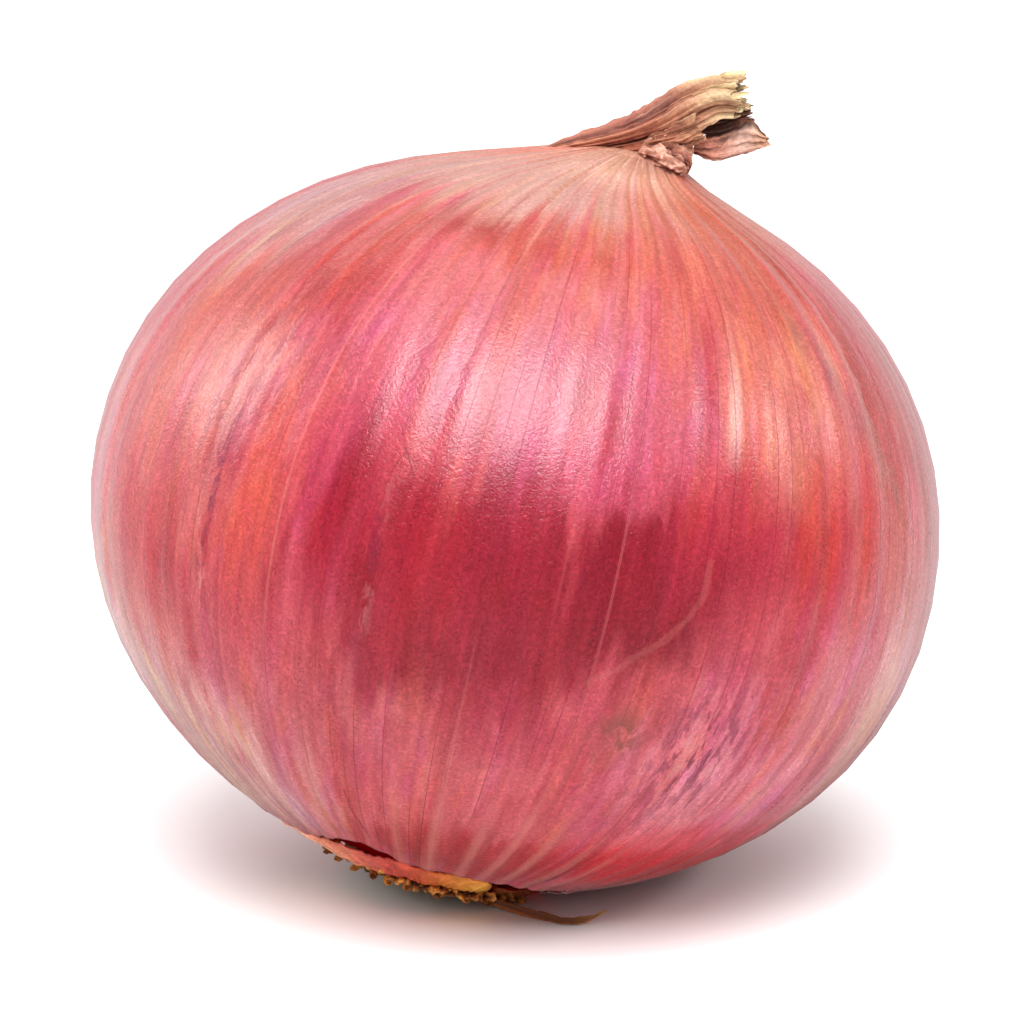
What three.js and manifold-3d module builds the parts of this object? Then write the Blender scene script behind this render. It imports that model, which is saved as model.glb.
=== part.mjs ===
// A red onion at rest: a squat bulb in its papery skin, leaning on a small flattened spot, with
// the withered neck pointing to +X and the root plate and torn skin facing the front (-Y).
// Millimetres, +Z up. The floor is Z = 0 and the origin is the middle of the outline on it.
import * as THREE from 'three';
import { mergeVertices } from 'three/addons/utils/BufferGeometryUtils.js';
import Module from 'manifold-3d';

// The bulb, measured along and around its own axis from the plane of its widest ring: an
// ellipse below, a slightly squarer curve above, and a low peak that the neck pulls sideways.
const EQUATOR_RADIUS = 40;
const TOP_HEIGHT = 34.7;
const BASE_DEPTH = 34.1;
const SHOULDER_POWER = 2.1;
const NECK_RISE = 2.6;
const NECK_SPREAD = 7.7;
const NECK_PULL = { x: 2.2, y: -1.2 };
// How far its middle drifts towards +X at the neck and at the root.
const NECK_DRIFT = 1.6;
const ROOT_DRIFT = -0.5;

// How it lies: tilted away from upright, towards a heading counted from +X to +Y.
const LEAN = THREE.MathUtils.degToRad(15);
const LEAN_HEADING = THREE.MathUtils.degToRad(32.4);
const CENTRE_HEIGHT = 33.6;

// Skins, and the clearance between neighbouring pieces.
const SKIN_THICKNESS = 0.45;
const GAP = 0.3;
const BULB_INSET = SKIN_THICKNESS + GAP;

// The root end, as radii from the axis and heights proud of the skin's outline. The outer skin
// is torn off wide of the root at the front and ends near it behind.
const PLATE_RADIUS = 8.7;
const PLATE_PROUD = 0.9;
const BACK_EDGE_RADIUS = 10.6;
const TORN_EDGE_RADIUS = 17.2;
// What the tear left round the root, each between two longitudes in degrees.
const COLLAR_START_RADIUS = 10.4;
const COLLAR_PROUD = 0.65;
const COLLAR = { from: -88, to: 27, freeRadius: 16.6, steps: 40 };
const SLIVER = { from: 31, to: 54, freeRadius: 12.8, steps: 12 };
const SHRED_WIDTH = 1.5;
const SHRED_THICKNESS = 0.4;
// The withered rootlets, round the lifted side of the plate.
const STUB_COUNT = 16;
const STUB_RADIUS = 0.42;
const STUB_LENGTH = 2.2;
const STUB_LENGTH_BEHIND = 1.3;
const STUB_FROM = -150;
const STUB_TO = 38;
// The least height of a loose piece above the floor.
const FLOOR_CLEARANCE = 0.1;

// The neck's lower leaf tip.
const FLAP_THICKNESS = 0.7;
const FLAP_CUP = 0.9;

// Facets.
const SKIN_SIDES = 56;
const SKIN_RINGS = 25;
const BULB_SIDES = 46;
const BULB_RINGS = 21;
const EDGE_SIDES = 90;

const { degToRad, lerp, smoothstep } = THREE.MathUtils;
const wasm = await Module();
wasm.setup();

const material = (color, roughness) => new THREE.MeshStandardMaterial({ color, roughness, metalness: 0 });
const MATERIALS = {
  skin: material('#c8485c', 0.38),
  flesh: material('#8e1626', 0.5),
  collar: material('#cf8f5f', 0.7),
  neck: material('#b9735a', 0.85),
  neckEnd: material('#d9b68c', 0.9),
  root: material('#b58a52', 0.95),
};

// --- Solids ---------------------------------------------------------------------------------

// Turns a closed mesh inside out if its faces point inwards.
function facingOut(geometry) {
  const position = geometry.getAttribute('position');
  const index = geometry.getIndex().array;
  const corner = [new THREE.Vector3(), new THREE.Vector3(), new THREE.Vector3()];
  let volume = 0;
  for (let i = 0; i < index.length; i += 3) {
    corner.forEach((point, k) => point.fromBufferAttribute(position, index[i + k]));
    volume += corner[0].dot(corner[1].cross(corner[2]));
  }
  if (volume < 0) {
    for (let i = 0; i < index.length; i += 3) {
      [index[i + 1], index[i + 2]] = [index[i + 2], index[i + 1]];
    }
  }
  return geometry;
}

function meshFrom(points, triangles) {
  const geometry = new THREE.BufferGeometry().setFromPoints(points);
  geometry.setIndex(triangles);
  return facingOut(geometry);
}

// A closed body of rings stacked along its length: ring(along, turn) gives a point for both
// from 0 to 1, and tip(end) gives the middle point that closes end 0 and end 1.
function ringedBody(ring, tip, steps, sides) {
  const points = [];
  const triangles = [];
  for (let i = 0; i <= steps; i += 1) {
    for (let j = 0; j < sides; j += 1) {
      points.push(ring(i / steps, j / sides));
    }
  }
  const first = points.push(tip(0)) - 1;
  const last = points.push(tip(1)) - 1;
  for (let j = 0; j < sides; j += 1) {
    const next = (j + 1) % sides;
    for (let i = 0; i < steps; i += 1) {
      const [a, b] = [i * sides + j, i * sides + next];
      triangles.push(a, b, b + sides, a, b + sides, a + sides);
    }
    triangles.push(next, j, first, steps * sides + j, steps * sides + next, last);
  }
  return meshFrom(points, triangles);
}

// A closed thin sheet: face(across, along, side) gives a point of its outer (1) or inner (0) face.
function sheetBody(face, acrossSteps, alongSteps) {
  const points = [];
  const triangles = [];
  const row = alongSteps + 1;
  const layer = (acrossSteps + 1) * row;
  for (const side of [0, 1]) {
    for (let i = 0; i <= acrossSteps; i += 1) {
      for (let j = 0; j <= alongSteps; j += 1) {
        points.push(face(i / acrossSteps, j / alongSteps, side));
      }
    }
  }
  const quad = (a, b, c, d) => triangles.push(a, b, c, a, c, d);
  for (let i = 0; i < acrossSteps; i += 1) {
    for (let j = 0; j < alongSteps; j += 1) {
      const a = i * row + j;
      quad(a, a + 1, a + row + 1, a + row);
      quad(layer + a, layer + a + row, layer + a + row + 1, layer + a + 1);
    }
    const [start, end] = [i * row, i * row + alongSteps];
    quad(start, start + row, layer + start + row, layer + start);
    quad(end + row, end, layer + end, layer + end + row);
  }
  for (let j = 0; j < alongSteps; j += 1) {
    const far = acrossSteps * row + j;
    quad(j + 1, j, layer + j, layer + j + 1);
    quad(far, far + 1, layer + far + 1, layer + far);
  }
  return meshFrom(points, triangles);
}

// The same geometry with only its corner points, each kept once.
function mergedOnly(geometry) {
  const bare = geometry.clone();
  bare.deleteAttribute('normal');
  bare.deleteAttribute('uv');
  return mergeVertices(bare, 1e-5);
}

function solidFrom(geometry) {
  const merged = mergedOnly(geometry);
  return new wasm.Manifold(new wasm.Mesh({
    numProp: 3,
    vertProperties: new Float32Array(merged.getAttribute('position').array),
    triVerts: new Uint32Array(merged.getIndex().array),
  }));
}

function geometryFrom(solid) {
  const mesh = solid.getMesh();
  const geometry = new THREE.BufferGeometry();
  geometry.setAttribute('position', new THREE.BufferAttribute(mesh.vertProperties, 3));
  geometry.setIndex(new THREE.BufferAttribute(mesh.triVerts, 1));
  return geometry;
}

// The body left of one geometry once the others are cut away from it.
function cut(geometry, ...cutters) {
  const solid = cutters.reduce((left, cutter) => left.subtract(solidFrom(cutter)), solidFrom(geometry));
  return geometryFrom(solid);
}

// --- The onion's own frame ------------------------------------------------------------------

const tiltAxis = new THREE.Vector3(-Math.sin(LEAN_HEADING), Math.cos(LEAN_HEADING), 0);
const REST = new THREE.Matrix4().makeRotationAxis(tiltAxis, LEAN).setPosition(0, 0, CENTRE_HEIGHT);

// A point at a radius and height in the onion's own frame, moved to where the onion rests.
// Longitude 0 faces the front (-Y) and grows towards +X.
function ownPoint(longitude, radius, height) {
  const drift = height > 0 ? NECK_DRIFT : ROOT_DRIFT;
  const pull = height > 0 ? Math.exp(-((radius / NECK_SPREAD) ** 2)) : 0;
  const x = Math.sin(longitude) * radius + drift * (height / EQUATOR_RADIUS) ** 2 + pull * NECK_PULL.x;
  const y = -Math.cos(longitude) * radius + pull * NECK_PULL.y;
  return new THREE.Vector3(x, y, height).applyMatrix4(REST);
}

// The skin's outline at a polar angle from the root, moved inwards by an inset.
function outline(polar, inset) {
  const wide = EQUATOR_RADIUS - inset;
  const lower = polar < Math.PI / 2;
  const power = lower ? 1 : 2 / SHOULDER_POWER;
  const radius = wide * Math.max(Math.sin(polar), 0) ** power;
  const tall = (lower ? BASE_DEPTH : TOP_HEIGHT) - inset;
  const height = tall * Math.abs(Math.cos(polar)) ** power;
  const rise = NECK_RISE * Math.exp(-((radius / NECK_SPREAD) ** 2));
  return { radius, height: lower ? -height : height + rise };
}

function skinPoint(longitude, polar, inset) {
  const { radius, height } = outline(polar, inset);
  return ownPoint(longitude, radius, height);
}

const polarAtRadius = (radius) => Math.asin(radius / EQUATOR_RADIUS);

// The whole outline as one closed body.
function onionBody(inset, sides, rings) {
  const inner = (along) => lerp(Math.PI / rings, Math.PI * (1 - 1 / rings), along);
  return ringedBody(
    (along, turn) => skinPoint(turn * 2 * Math.PI, inner(along), inset),
    (end) => skinPoint(0, end * Math.PI, inset),
    rings - 2,
    sides,
  );
}

// Everything below a height, as a block to cut away.
function floorBlock(height) {
  const size = 3 * EQUATOR_RADIUS;
  return new THREE.BoxGeometry(size, size, size).translate(0, 0, height - size / 2);
}

// --- Bulb and outer skin --------------------------------------------------------------------

// Where the outer skin ends round the root: a wavy tear at the front, close to the root behind.
function skinEdgeRadius(longitude) {
  const degrees = THREE.MathUtils.euclideanModulo(THREE.MathUtils.radToDeg(longitude) + 180, 360) - 180;
  const torn = smoothstep(degrees, -118, -82) * (1 - smoothstep(degrees, 38, 70));
  const notch = 3.2 * Math.exp(-(((degrees + 24) / 13) ** 2));
  const wave = 0.35 * Math.sin(9 * longitude) + 0.25 * Math.sin(17 * longitude + 1);
  return lerp(BACK_EDGE_RADIUS, TORN_EDGE_RADIUS + notch, torn) + wave;
}

// The plug that opens the skin round the root, from inside the bulb to below the floor.
function rootOpening() {
  const reach = 3;
  const edge = (longitude, along) => skinPoint(
    longitude,
    polarAtRadius(skinEdgeRadius(longitude)),
    lerp(reach, -reach, along),
  );
  return ringedBody(
    (along, turn) => edge(turn * 2 * Math.PI, along),
    (end) => skinPoint(0, 0, lerp(reach, -reach, end)),
    1,
    EDGE_SIDES,
  );
}

function outerSkin() {
  const outside = cut(onionBody(0, SKIN_SIDES, SKIN_RINGS), floorBlock(0));
  const inside = cut(onionBody(SKIN_THICKNESS, BULB_SIDES, BULB_RINGS), floorBlock(SKIN_THICKNESS));
  return cut(outside, inside, rootOpening());
}

function bulb() {
  return cut(onionBody(BULB_INSET, BULB_SIDES, BULB_RINGS), floorBlock(BULB_INSET));
}

// --- Root end -------------------------------------------------------------------------------

// The corky plate under the bulb: a shallow lens with a knobbly rim, fattened by grow.
function rootPlate(grow = 0) {
  const rim = (turn) => PLATE_RADIUS + grow + 0.35 * Math.sin(14 * Math.PI * turn) - 0.35;
  const proud = (end) => lerp(GAP - BULB_INSET - grow, PLATE_PROUD + grow, end);
  const lens = ringedBody(
    (along, turn) => skinPoint(turn * 2 * Math.PI, polarAtRadius(rim(turn) - 0.4 * along), -proud(along)),
    (end) => skinPoint(0, 0, -proud(end)),
    1,
    42,
  );
  return cut(lens, floorBlock(0));
}

// A band of skin left round the root when the outer skin tore, swelling towards the root. It
// spans two longitudes in degrees, and its free edge lies at a radius from the axis.
function collarStrip({ from, to, freeRadius, steps }) {
  const face = (across, along, side) => {
    const longitude = degToRad(lerp(from, to, across));
    const taper = smoothstep(across, 0, 0.12) * (1 - smoothstep(across, 0.9, 1));
    const ragged = 0.35 * Math.sin(31 * across) + 0.25 * Math.sin(67 * across);
    const limit = Math.min(freeRadius + ragged, skinEdgeRadius(longitude) - 1.5 * GAP);
    const free = lerp(COLLAR_START_RADIUS + 1, limit, taper);
    const outer = lerp(COLLAR_PROUD, SKIN_THICKNESS / 4, along);
    const proud = outer - (1 - side) * SKIN_THICKNESS;
    return skinPoint(longitude, polarAtRadius(lerp(COLLAR_START_RADIUS, free, along)), -proud);
  };
  return sheetBody(face, steps, 4);
}

// One withered rootlet: a short bent peg that comes out between the root plate and the collar
// and splays outwards, or lies on the floor where the plate comes down to it.
function rootStub(longitude, length, plateSpace) {
  const at = (turn, radius, proud) => skinPoint(longitude + turn, polarAtRadius(radius), -proud);
  const root = at(0, PLATE_RADIUS + GAP + STUB_RADIUS, 0);
  const knee = at(0.01, PLATE_RADIUS + GAP + 1.4 * STUB_RADIUS, COLLAR_PROUD + 0.4 * length);
  const clear = COLLAR_PROUD + GAP + STUB_RADIUS;
  const tip = at(0.05, COLLAR_START_RADIUS + 0.3 * length, clear + 0.15 * length);
  for (const point of [root, knee, tip]) {
    point.z = Math.max(point.z, FLOOR_CLEARANCE + STUB_RADIUS);
  }
  const path = new THREE.QuadraticBezierCurve3(root, knee, tip);
  const section = new THREE.Shape().absarc(0, 0, STUB_RADIUS, 0, 2 * Math.PI);
  const peg = new THREE.ExtrudeGeometry(section, { steps: 3, curveSegments: 4, extrudePath: path });
  return cut(mergedOnly(peg), plateSpace, floorBlock(FLOOR_CLEARANCE));
}

// The thin shred of skin that hangs from the root, curls over the floor and ends ragged.
function skinShred() {
  const path = new THREE.CatmullRomCurve3([
    new THREE.Vector3(-0.4, -15.2, 0.55),
    new THREE.Vector3(2.2, -17.3, 0.5),
    new THREE.Vector3(4.6, -18.7, 0.4),
    new THREE.Vector3(6.6, -18.5, 0.5),
    new THREE.Vector3(8.4, -17.5, 0.95),
  ]);
  const face = (across, along, side) => {
    const width = SHRED_WIDTH * lerp(0.7, 1, Math.sin(Math.PI * across)) * (1 - 0.5 * across ** 4);
    const spread = (along - 0.5) * width;
    const point = path.getPoint(across);
    return point.add(new THREE.Vector3(0.2 * spread, -0.75 * spread, 0.6 * spread + side * SHRED_THICKNESS));
  };
  return cut(sheetBody(face, 12, 2), floorBlock(FLOOR_CLEARANCE));
}

// --- Neck -----------------------------------------------------------------------------------

// A withered leaf tube along a path that runs to the right: half its height and half its depth
// follow two lists along it, its section is pleated and twists, and grow fattens it all over.
function leafTube(leaf, grow = 0) {
  const path = new THREE.CatmullRomCurve3(leaf.path.map((place) => new THREE.Vector3(...place)));
  const along = (list, t) => {
    const place = t * (list.length - 1);
    const i = Math.min(Math.floor(place), list.length - 2);
    return lerp(list[i], list[i + 1], place - i);
  };
  const depthAxis = new THREE.Vector3(0, 1, 0);
  const ring = (t, turn) => {
    const angle = turn * 2 * Math.PI;
    const tangent = path.getTangent(t);
    const heightAxis = tangent.clone().cross(depthAxis).negate();
    const pleat = 1 + leaf.pleatDepth * Math.cos(leaf.pleats * angle + leaf.twist * t);
    const tall = (along(leaf.tall, t) * pleat + grow) * Math.sin(angle);
    const deep = (along(leaf.deep, t) * pleat + grow) * Math.cos(angle);
    const torn = leaf.torn * Math.sin(3 * angle + 1) * Math.cos(7 * angle) * smoothstep(t, 0.7, 1);
    const overrun = grow * (2 * t - 1);
    return path.getPoint(t)
      .addScaledVector(heightAxis, tall)
      .addScaledVector(depthAxis, deep)
      .addScaledVector(tangent, torn + overrun);
  };
  const tip = (end) => {
    const t = end === 0 ? 0 : leaf.mouth;
    return path.getPoint(t).addScaledVector(path.getTangent(t), grow * (2 * end - 1));
  };
  return ringedBody(ring, tip, 8, 20);
}

// The twisted outer sheath rises from the shoulder, and a paler inner leaf sticks out of it.
const SHEATH = {
  path: [
    [3, 4.2, 68.7],
    [6.4, 4, 69.1],
    [9.4, 3.8, 69.9],
    [11.8, 3.6, 70.9],
    [14.1, 3.6, 71.9],
    [16.4, 3.6, 73],
    [18.1, 3.6, 73.8],
  ],
  tall: [0.4, 0.9, 1.4, 1.9, 2.3, 2.3, 2.1],
  deep: [0.9, 1.6, 2.1, 2.5, 2.7, 2.6, 2.4],
  pleats: 5,
  pleatDepth: 0.08,
  twist: 1.6,
  torn: 0.3,
  mouth: 1,
};
const INNER_LEAF = {
  path: [[16, 3.6, 72.9], [18.7, 3.6, 74], [21.1, 3.6, 74.4]],
  tall: [1.1, 1.65, 1.75],
  deep: [1.4, 1.9, 2.1],
  pleats: 7,
  pleatDepth: 0.06,
  twist: 0.8,
  torn: 0.45,
  mouth: 0.55,
};
const SIDE_FOLD = {
  path: [[12.6, 1.1, 69.6], [15, 0.9, 70.2], [17.2, 1.2, 71.2]],
  tall: [0.8, 1.3, 1.2],
  deep: [0.7, 1, 1.1],
  pleats: 4,
  pleatDepth: 0.07,
  twist: 1,
  torn: 0.2,
  mouth: 0.8,
};
const KNOT = {
  path: [[11.7, 1, 69], [13.9, 1.1, 68.4], [16.2, 2.2, 67.4]],
  tall: [0.9, 2, 1.4],
  deep: [0.8, 1.9, 1.2],
  pleats: 5,
  pleatDepth: 0.12,
  twist: 2,
  torn: 0,
  mouth: 1,
};

// The lower leaf tip: a cupped blade that broadens from the sheath and narrows to its point.
function neckFlap(grow = 0) {
  const lower = new THREE.CatmullRomCurve3([
    new THREE.Vector3(16.6, 3, 68.7),
    new THREE.Vector3(18.7, 3.2, 67.9),
    new THREE.Vector3(21.1, 3.3, 68.4),
    new THREE.Vector3(23.7, 3.4, 69.3),
  ]);
  const upper = new THREE.CatmullRomCurve3([
    new THREE.Vector3(16.9, 3.6, 69.8),
    new THREE.Vector3(19.6, 4.6, 70.9),
    new THREE.Vector3(21.9, 4.9, 71.6),
    new THREE.Vector3(23.6, 4.1, 70.2),
  ]);
  const face = (across, along, side) => {
    const cup = FLAP_CUP * Math.sin(Math.PI * along) * Math.sin(Math.PI * across);
    const pleat = 0.12 * Math.sin(5 * Math.PI * along);
    const point = lower.getPoint(across).lerp(upper.getPoint(across), along);
    const outward = cup + pleat - 0.5 * FLAP_THICKNESS + side * FLAP_THICKNESS + grow * (2 * side - 1);
    return point.add(new THREE.Vector3(0, outward, 0));
  };
  return sheetBody(face, 10, 6);
}

// --- Assembly -------------------------------------------------------------------------------

const onion = new THREE.Group();

function add(name, geometry, finish) {
  geometry.computeVertexNormals();
  const mesh = new THREE.Mesh(geometry, MATERIALS[finish]);
  mesh.name = name;
  onion.add(mesh);
}

function addBulb() {
  add('outer_skin', outerSkin(), 'skin');
  add('bulb', bulb(), 'flesh');
}

function addRootEnd() {
  add('root_plate', rootPlate(), 'root');
  add('root_collar', collarStrip(COLLAR), 'collar');
  add('root_sliver', cut(collarStrip(SLIVER), floorBlock(FLOOR_CLEARANCE)), 'collar');
  add('skin_shred', skinShred(), 'collar');
  const plateSpace = rootPlate(GAP);
  for (let i = 0; i < STUB_COUNT; i += 1) {
    const share = i / (STUB_COUNT - 1);
    const longitude = degToRad(lerp(STUB_FROM, STUB_TO, share) + 3 * Math.sin(5 * i));
    const typical = lerp(STUB_LENGTH_BEHIND, STUB_LENGTH, smoothstep(share, 0.5, 0.8));
    const length = typical * (1 + 0.2 * Math.sin(7 * i));
    add(`root_stub_${String(i + 1).padStart(2, '0')}`, rootStub(longitude, length, plateSpace), 'root');
  }
}

function addNeck() {
  const shoulder = onionBody(-GAP, SKIN_SIDES, SKIN_RINGS);
  const leafSpace = leafTube(INNER_LEAF, GAP);
  const sheathSpace = leafTube(SHEATH, GAP);
  const foldSpace = leafTube(SIDE_FOLD, GAP);
  const knotSpace = leafTube(KNOT, GAP);
  add('neck_inner_leaf', leafTube(INNER_LEAF), 'neckEnd');
  add('neck_sheath', cut(leafTube(SHEATH), shoulder, leafSpace), 'neck');
  add('neck_side_fold', cut(leafTube(SIDE_FOLD), shoulder, leafSpace, sheathSpace), 'neck');
  add('neck_knot', cut(leafTube(KNOT), shoulder, sheathSpace, foldSpace), 'neck');
  add('neck_flap', cut(neckFlap(), sheathSpace, leafSpace, foldSpace, knotSpace), 'neck');
}

addBulb();
addRootEnd();
addNeck();

// The origin is the middle of the outline's footprint, on the floor.
const outer = new THREE.Box3().setFromObject(onion, true);
const middle = outer.getCenter(new THREE.Vector3());
onion.position.set(-middle.x, -middle.y, 0);

export default onion;
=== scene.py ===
"""A red onion at rest: the looks of every piece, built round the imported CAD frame.

Formulas count in millimetres and degrees, and a mesh is scaled to metres as it is made. The onion's
own frame has longitude 0 at the front (-Y), growing towards +X, and polar angle 0 at the root.
"""

import logging
import math
from dataclasses import dataclass, field
from enum import Enum
from typing import Sequence

import bpy
import numpy as np
from mathutils import Matrix, Vector, noise


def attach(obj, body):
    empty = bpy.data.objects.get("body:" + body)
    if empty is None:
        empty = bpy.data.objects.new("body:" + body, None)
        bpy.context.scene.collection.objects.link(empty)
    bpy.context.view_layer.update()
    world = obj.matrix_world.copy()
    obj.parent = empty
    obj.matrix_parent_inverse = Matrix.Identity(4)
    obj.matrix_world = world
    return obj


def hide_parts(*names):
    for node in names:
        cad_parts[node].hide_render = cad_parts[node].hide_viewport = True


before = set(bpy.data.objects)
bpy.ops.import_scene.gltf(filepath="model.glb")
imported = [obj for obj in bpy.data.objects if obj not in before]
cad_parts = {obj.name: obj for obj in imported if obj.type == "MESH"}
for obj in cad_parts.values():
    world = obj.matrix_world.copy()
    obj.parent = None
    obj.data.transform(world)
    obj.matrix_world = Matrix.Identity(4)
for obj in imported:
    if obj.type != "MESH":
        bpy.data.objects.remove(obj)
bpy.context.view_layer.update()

Array = np.ndarray
Place = tuple[float, float, float]
Socket = bpy.types.NodeSocket

MM = 0.001
LAMP_GAIN = 1.65
log = logging.getLogger("red onion")


# --- Small tools --------------------------------------------------------------------------------


def paint(code: str, gain: float = LAMP_GAIN) -> tuple[float, float, float]:
    """A colour as it looks under the studio's bright lamps, as the surface's own red, green and blue.

    Args:
        code: the look, such as c4475a.
        gain: how much brighter than the surface's own colour the lamps make it look.

    Returns:
        Linear red, green and blue.
    """
    parts = [int(code[i : i + 2], 16) / 255 for i in (0, 2, 4)]
    return tuple((((c + 0.055) / 1.055) ** 2.4 if c > 0.04 else c / 12.92) / gain for c in parts)


def opaque(code: str, gain: float = LAMP_GAIN) -> tuple[float, float, float, float]:
    """The same colour as the four numbers that a colour socket takes."""
    return (*paint(code, gain), 1.0)


def ease(value: Array | float, low: float, high: float) -> Array:
    """0 below low, 1 above high, and a smooth rise between them.

    Args:
        value: what the rise follows.
        low: where it starts.
        high: where it ends.

    Returns:
        The share at each value.
    """
    share = np.clip((np.asarray(value, float) - low) / (high - low), 0.0, 1.0)
    return share * share * (3.0 - 2.0 * share)


def hill(value: Array | float, centre: float, width: float) -> Array:
    """A smooth hill of height 1 round a centre."""
    return np.exp(-(((np.asarray(value, float) - centre) / width) ** 2))


def mixed(first: Array | float, second: Array | float, share: Array | float) -> Array:
    """A straight blend from first to second."""
    return first + (second - first) * share


def wrapped(degrees: Array) -> Array:
    """Degrees brought into the turn from -180 to 180."""
    return (np.asarray(degrees) + 180.0) % 360.0 - 180.0


def rumple(places: Array, size: float | Sequence[float], seed: int) -> Array:
    """Smooth noise between about -1 and 1 at each place.

    Args:
        places: points, as an array whose last axis is x, y and z.
        size: the width of one bump, or one width for each axis.
        seed: which of many patterns to use.

    Returns:
        One value for each point.
    """
    start = np.array([17.13, 5.37, 29.71]) * (seed + 1)
    flat = (places / np.asarray(size, float) + start).reshape(-1, 3)
    values = np.fromiter((noise.noise(Vector(p)) for p in flat), float, len(flat))
    return values.reshape(places.shape[:-1])


def spline(knots: Sequence[Sequence[float]], share: Array) -> Array:
    """Points on a smooth curve through the knots, spaced evenly by knot.

    Args:
        knots: the points that the curve passes through.
        share: how far along each wanted point lies, from 0 to 1.

    Returns:
        One point for each share.
    """
    held = np.asarray(knots, float)
    held = np.concatenate([[2 * held[0] - held[1]], held, [2 * held[-1] - held[-2]]])
    place = np.clip(share, 0.0, 1.0) * (len(knots) - 1)
    first = np.minimum(place.astype(int), len(knots) - 2)
    t = (place - first)[..., None]
    a, b, c, d = (held[first + i] for i in range(4))
    return 0.5 * (2 * b + (c - a) * t + (2 * a - 5 * b + 4 * c - d) * t**2 + (3 * b - a - 3 * c + d) * t**3)


# --- Meshes -------------------------------------------------------------------------------------


@dataclass
class RingedBody:
    """A closed body of rings stacked along its length, as tubes, shells and thin sheets all are.

    points has one row for each ring and one column for each step round it, in millimetres. tips
    holds the two middle points that close the first and last ring. maps holds UV maps with one
    column more than points, and shades holds a vector for each point.
    """

    name: str
    points: Array
    tips: tuple[Array, Array]
    maps: dict[str, Array] = field(default_factory=dict)
    shades: dict[str, Array] = field(default_factory=dict)

    def build(self) -> bpy.types.Object:
        """Makes the mesh object, in metres, with its faces pointing out.

        Returns:
            The object, linked to the scene.
        """
        rows, columns = self.points.shape[:2]
        count = rows * columns
        places = np.concatenate([self.points.reshape(-1, 3), np.stack(self.tips)]) * MM
        i, j = np.meshgrid(np.arange(rows - 1), np.arange(columns), indexing="ij")
        here, following = i * columns + j, i * columns + (j + 1) % columns
        quads = np.stack([here, following, following + columns, here + columns], -1).reshape(-1, 4)
        j = np.arange(columns)
        following = (j + 1) % columns
        last = (rows - 1) * columns
        first_fan = np.stack([following, j, np.full_like(j, count)], -1)
        last_fan = np.stack([last + j, last + following, np.full_like(j, count + 1)], -1)
        fans = np.concatenate([first_fan, last_fan])
        inside_out = self._volume(places, quads, fans) < 0
        if inside_out:
            quads, fans = quads[:, ::-1], fans[:, ::-1]
        mesh = bpy.data.meshes.new(self.name)
        mesh.from_pydata(places.tolist(), [], quads.tolist() + fans.tolist())
        mesh.polygons.foreach_set("use_smooth", [True] * len(mesh.polygons))
        self._lay_maps(mesh, inside_out)
        self._lay_shades(mesh)
        mesh.update()
        made = bpy.data.objects.new(self.name, mesh)
        bpy.context.scene.collection.objects.link(made)
        return made

    @staticmethod
    def _volume(places: Array, quads: Array, fans: Array) -> float:
        """Six times the volume inside the faces, negative if they point in.

        Args:
            places: the points.
            quads: four point numbers for each face.
            fans: three point numbers for each closing face.

        Returns:
            The volume, times six.
        """
        corners = np.concatenate([quads[:, [0, 1, 2]], quads[:, [0, 2, 3]], fans])
        a, b, c = (places[corners[:, k]] for k in range(3))
        return float((a * np.cross(b, c)).sum())

    def _lay_maps(self, mesh: bpy.types.Mesh, inside_out: bool) -> None:
        """Writes each UV map, corner by corner in the order of the faces."""
        for name, grid in self.maps.items():
            low, high = grid[:-1], grid[1:]
            quads = np.stack([low[:, :-1], low[:, 1:], high[:, 1:], high[:, :-1]], 2).reshape(-1, 4, 2)
            top, end = grid[0], grid[-1]
            first_fan = np.stack([top[1:], top[:-1], (top[1:] + top[:-1]) / 2], 1)
            last_fan = np.stack([end[:-1], end[1:], (end[1:] + end[:-1]) / 2], 1)
            fans = np.concatenate([first_fan, last_fan])
            if inside_out:
                quads, fans = quads[:, ::-1], fans[:, ::-1]
            corners = np.concatenate([quads.reshape(-1, 2), fans.reshape(-1, 2)])
            mesh.uv_layers.new(name=name).data.foreach_set("uv", corners.astype(np.float32).ravel())

    def _lay_shades(self, mesh: bpy.types.Mesh) -> None:
        """Writes each vector that the material reads at the points."""
        for name, grid in self.shades.items():
            flat = grid.reshape(-1, 3)
            tips = np.stack([grid[0].mean(0), grid[-1].mean(0)])
            values = np.concatenate([flat, tips]).astype(np.float32)
            mesh.attributes.new(name, "FLOAT_VECTOR", "POINT").data.foreach_set("vector", values.ravel())


def bake_map(points: Array) -> Array:
    """A UV map that gives each ring room by its distance from the last, so that nothing overlaps.

    Args:
        points: the body's points, ring by ring.

    Returns:
        The map, with one column more than points.
    """
    columns = points.shape[1]
    steps = np.linalg.norm(np.diff(points, axis=0), axis=-1).mean(1)
    reach = np.concatenate([[0.0], np.cumsum(steps + steps.sum() * 0.001)])
    turns = np.linspace(0.002, 0.998, columns + 1)
    v, u = np.meshgrid(0.004 + 0.992 * reach / reach[-1], turns, indexing="ij")
    return np.stack([u, v], -1)


def turn_map(along: Array, columns: int) -> Array:
    """A UV map of the turn round a body and a value along it, one for each ring.

    Args:
        along: the value at each ring.
        columns: how many steps go round.

    Returns:
        The map, with one column more than the body.
    """
    v, u = np.meshgrid(along, np.linspace(0.0, 1.0, columns + 1), indexing="ij")
    return np.stack([u, v], -1)


# --- The onion's form ---------------------------------------------------------------------------


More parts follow.
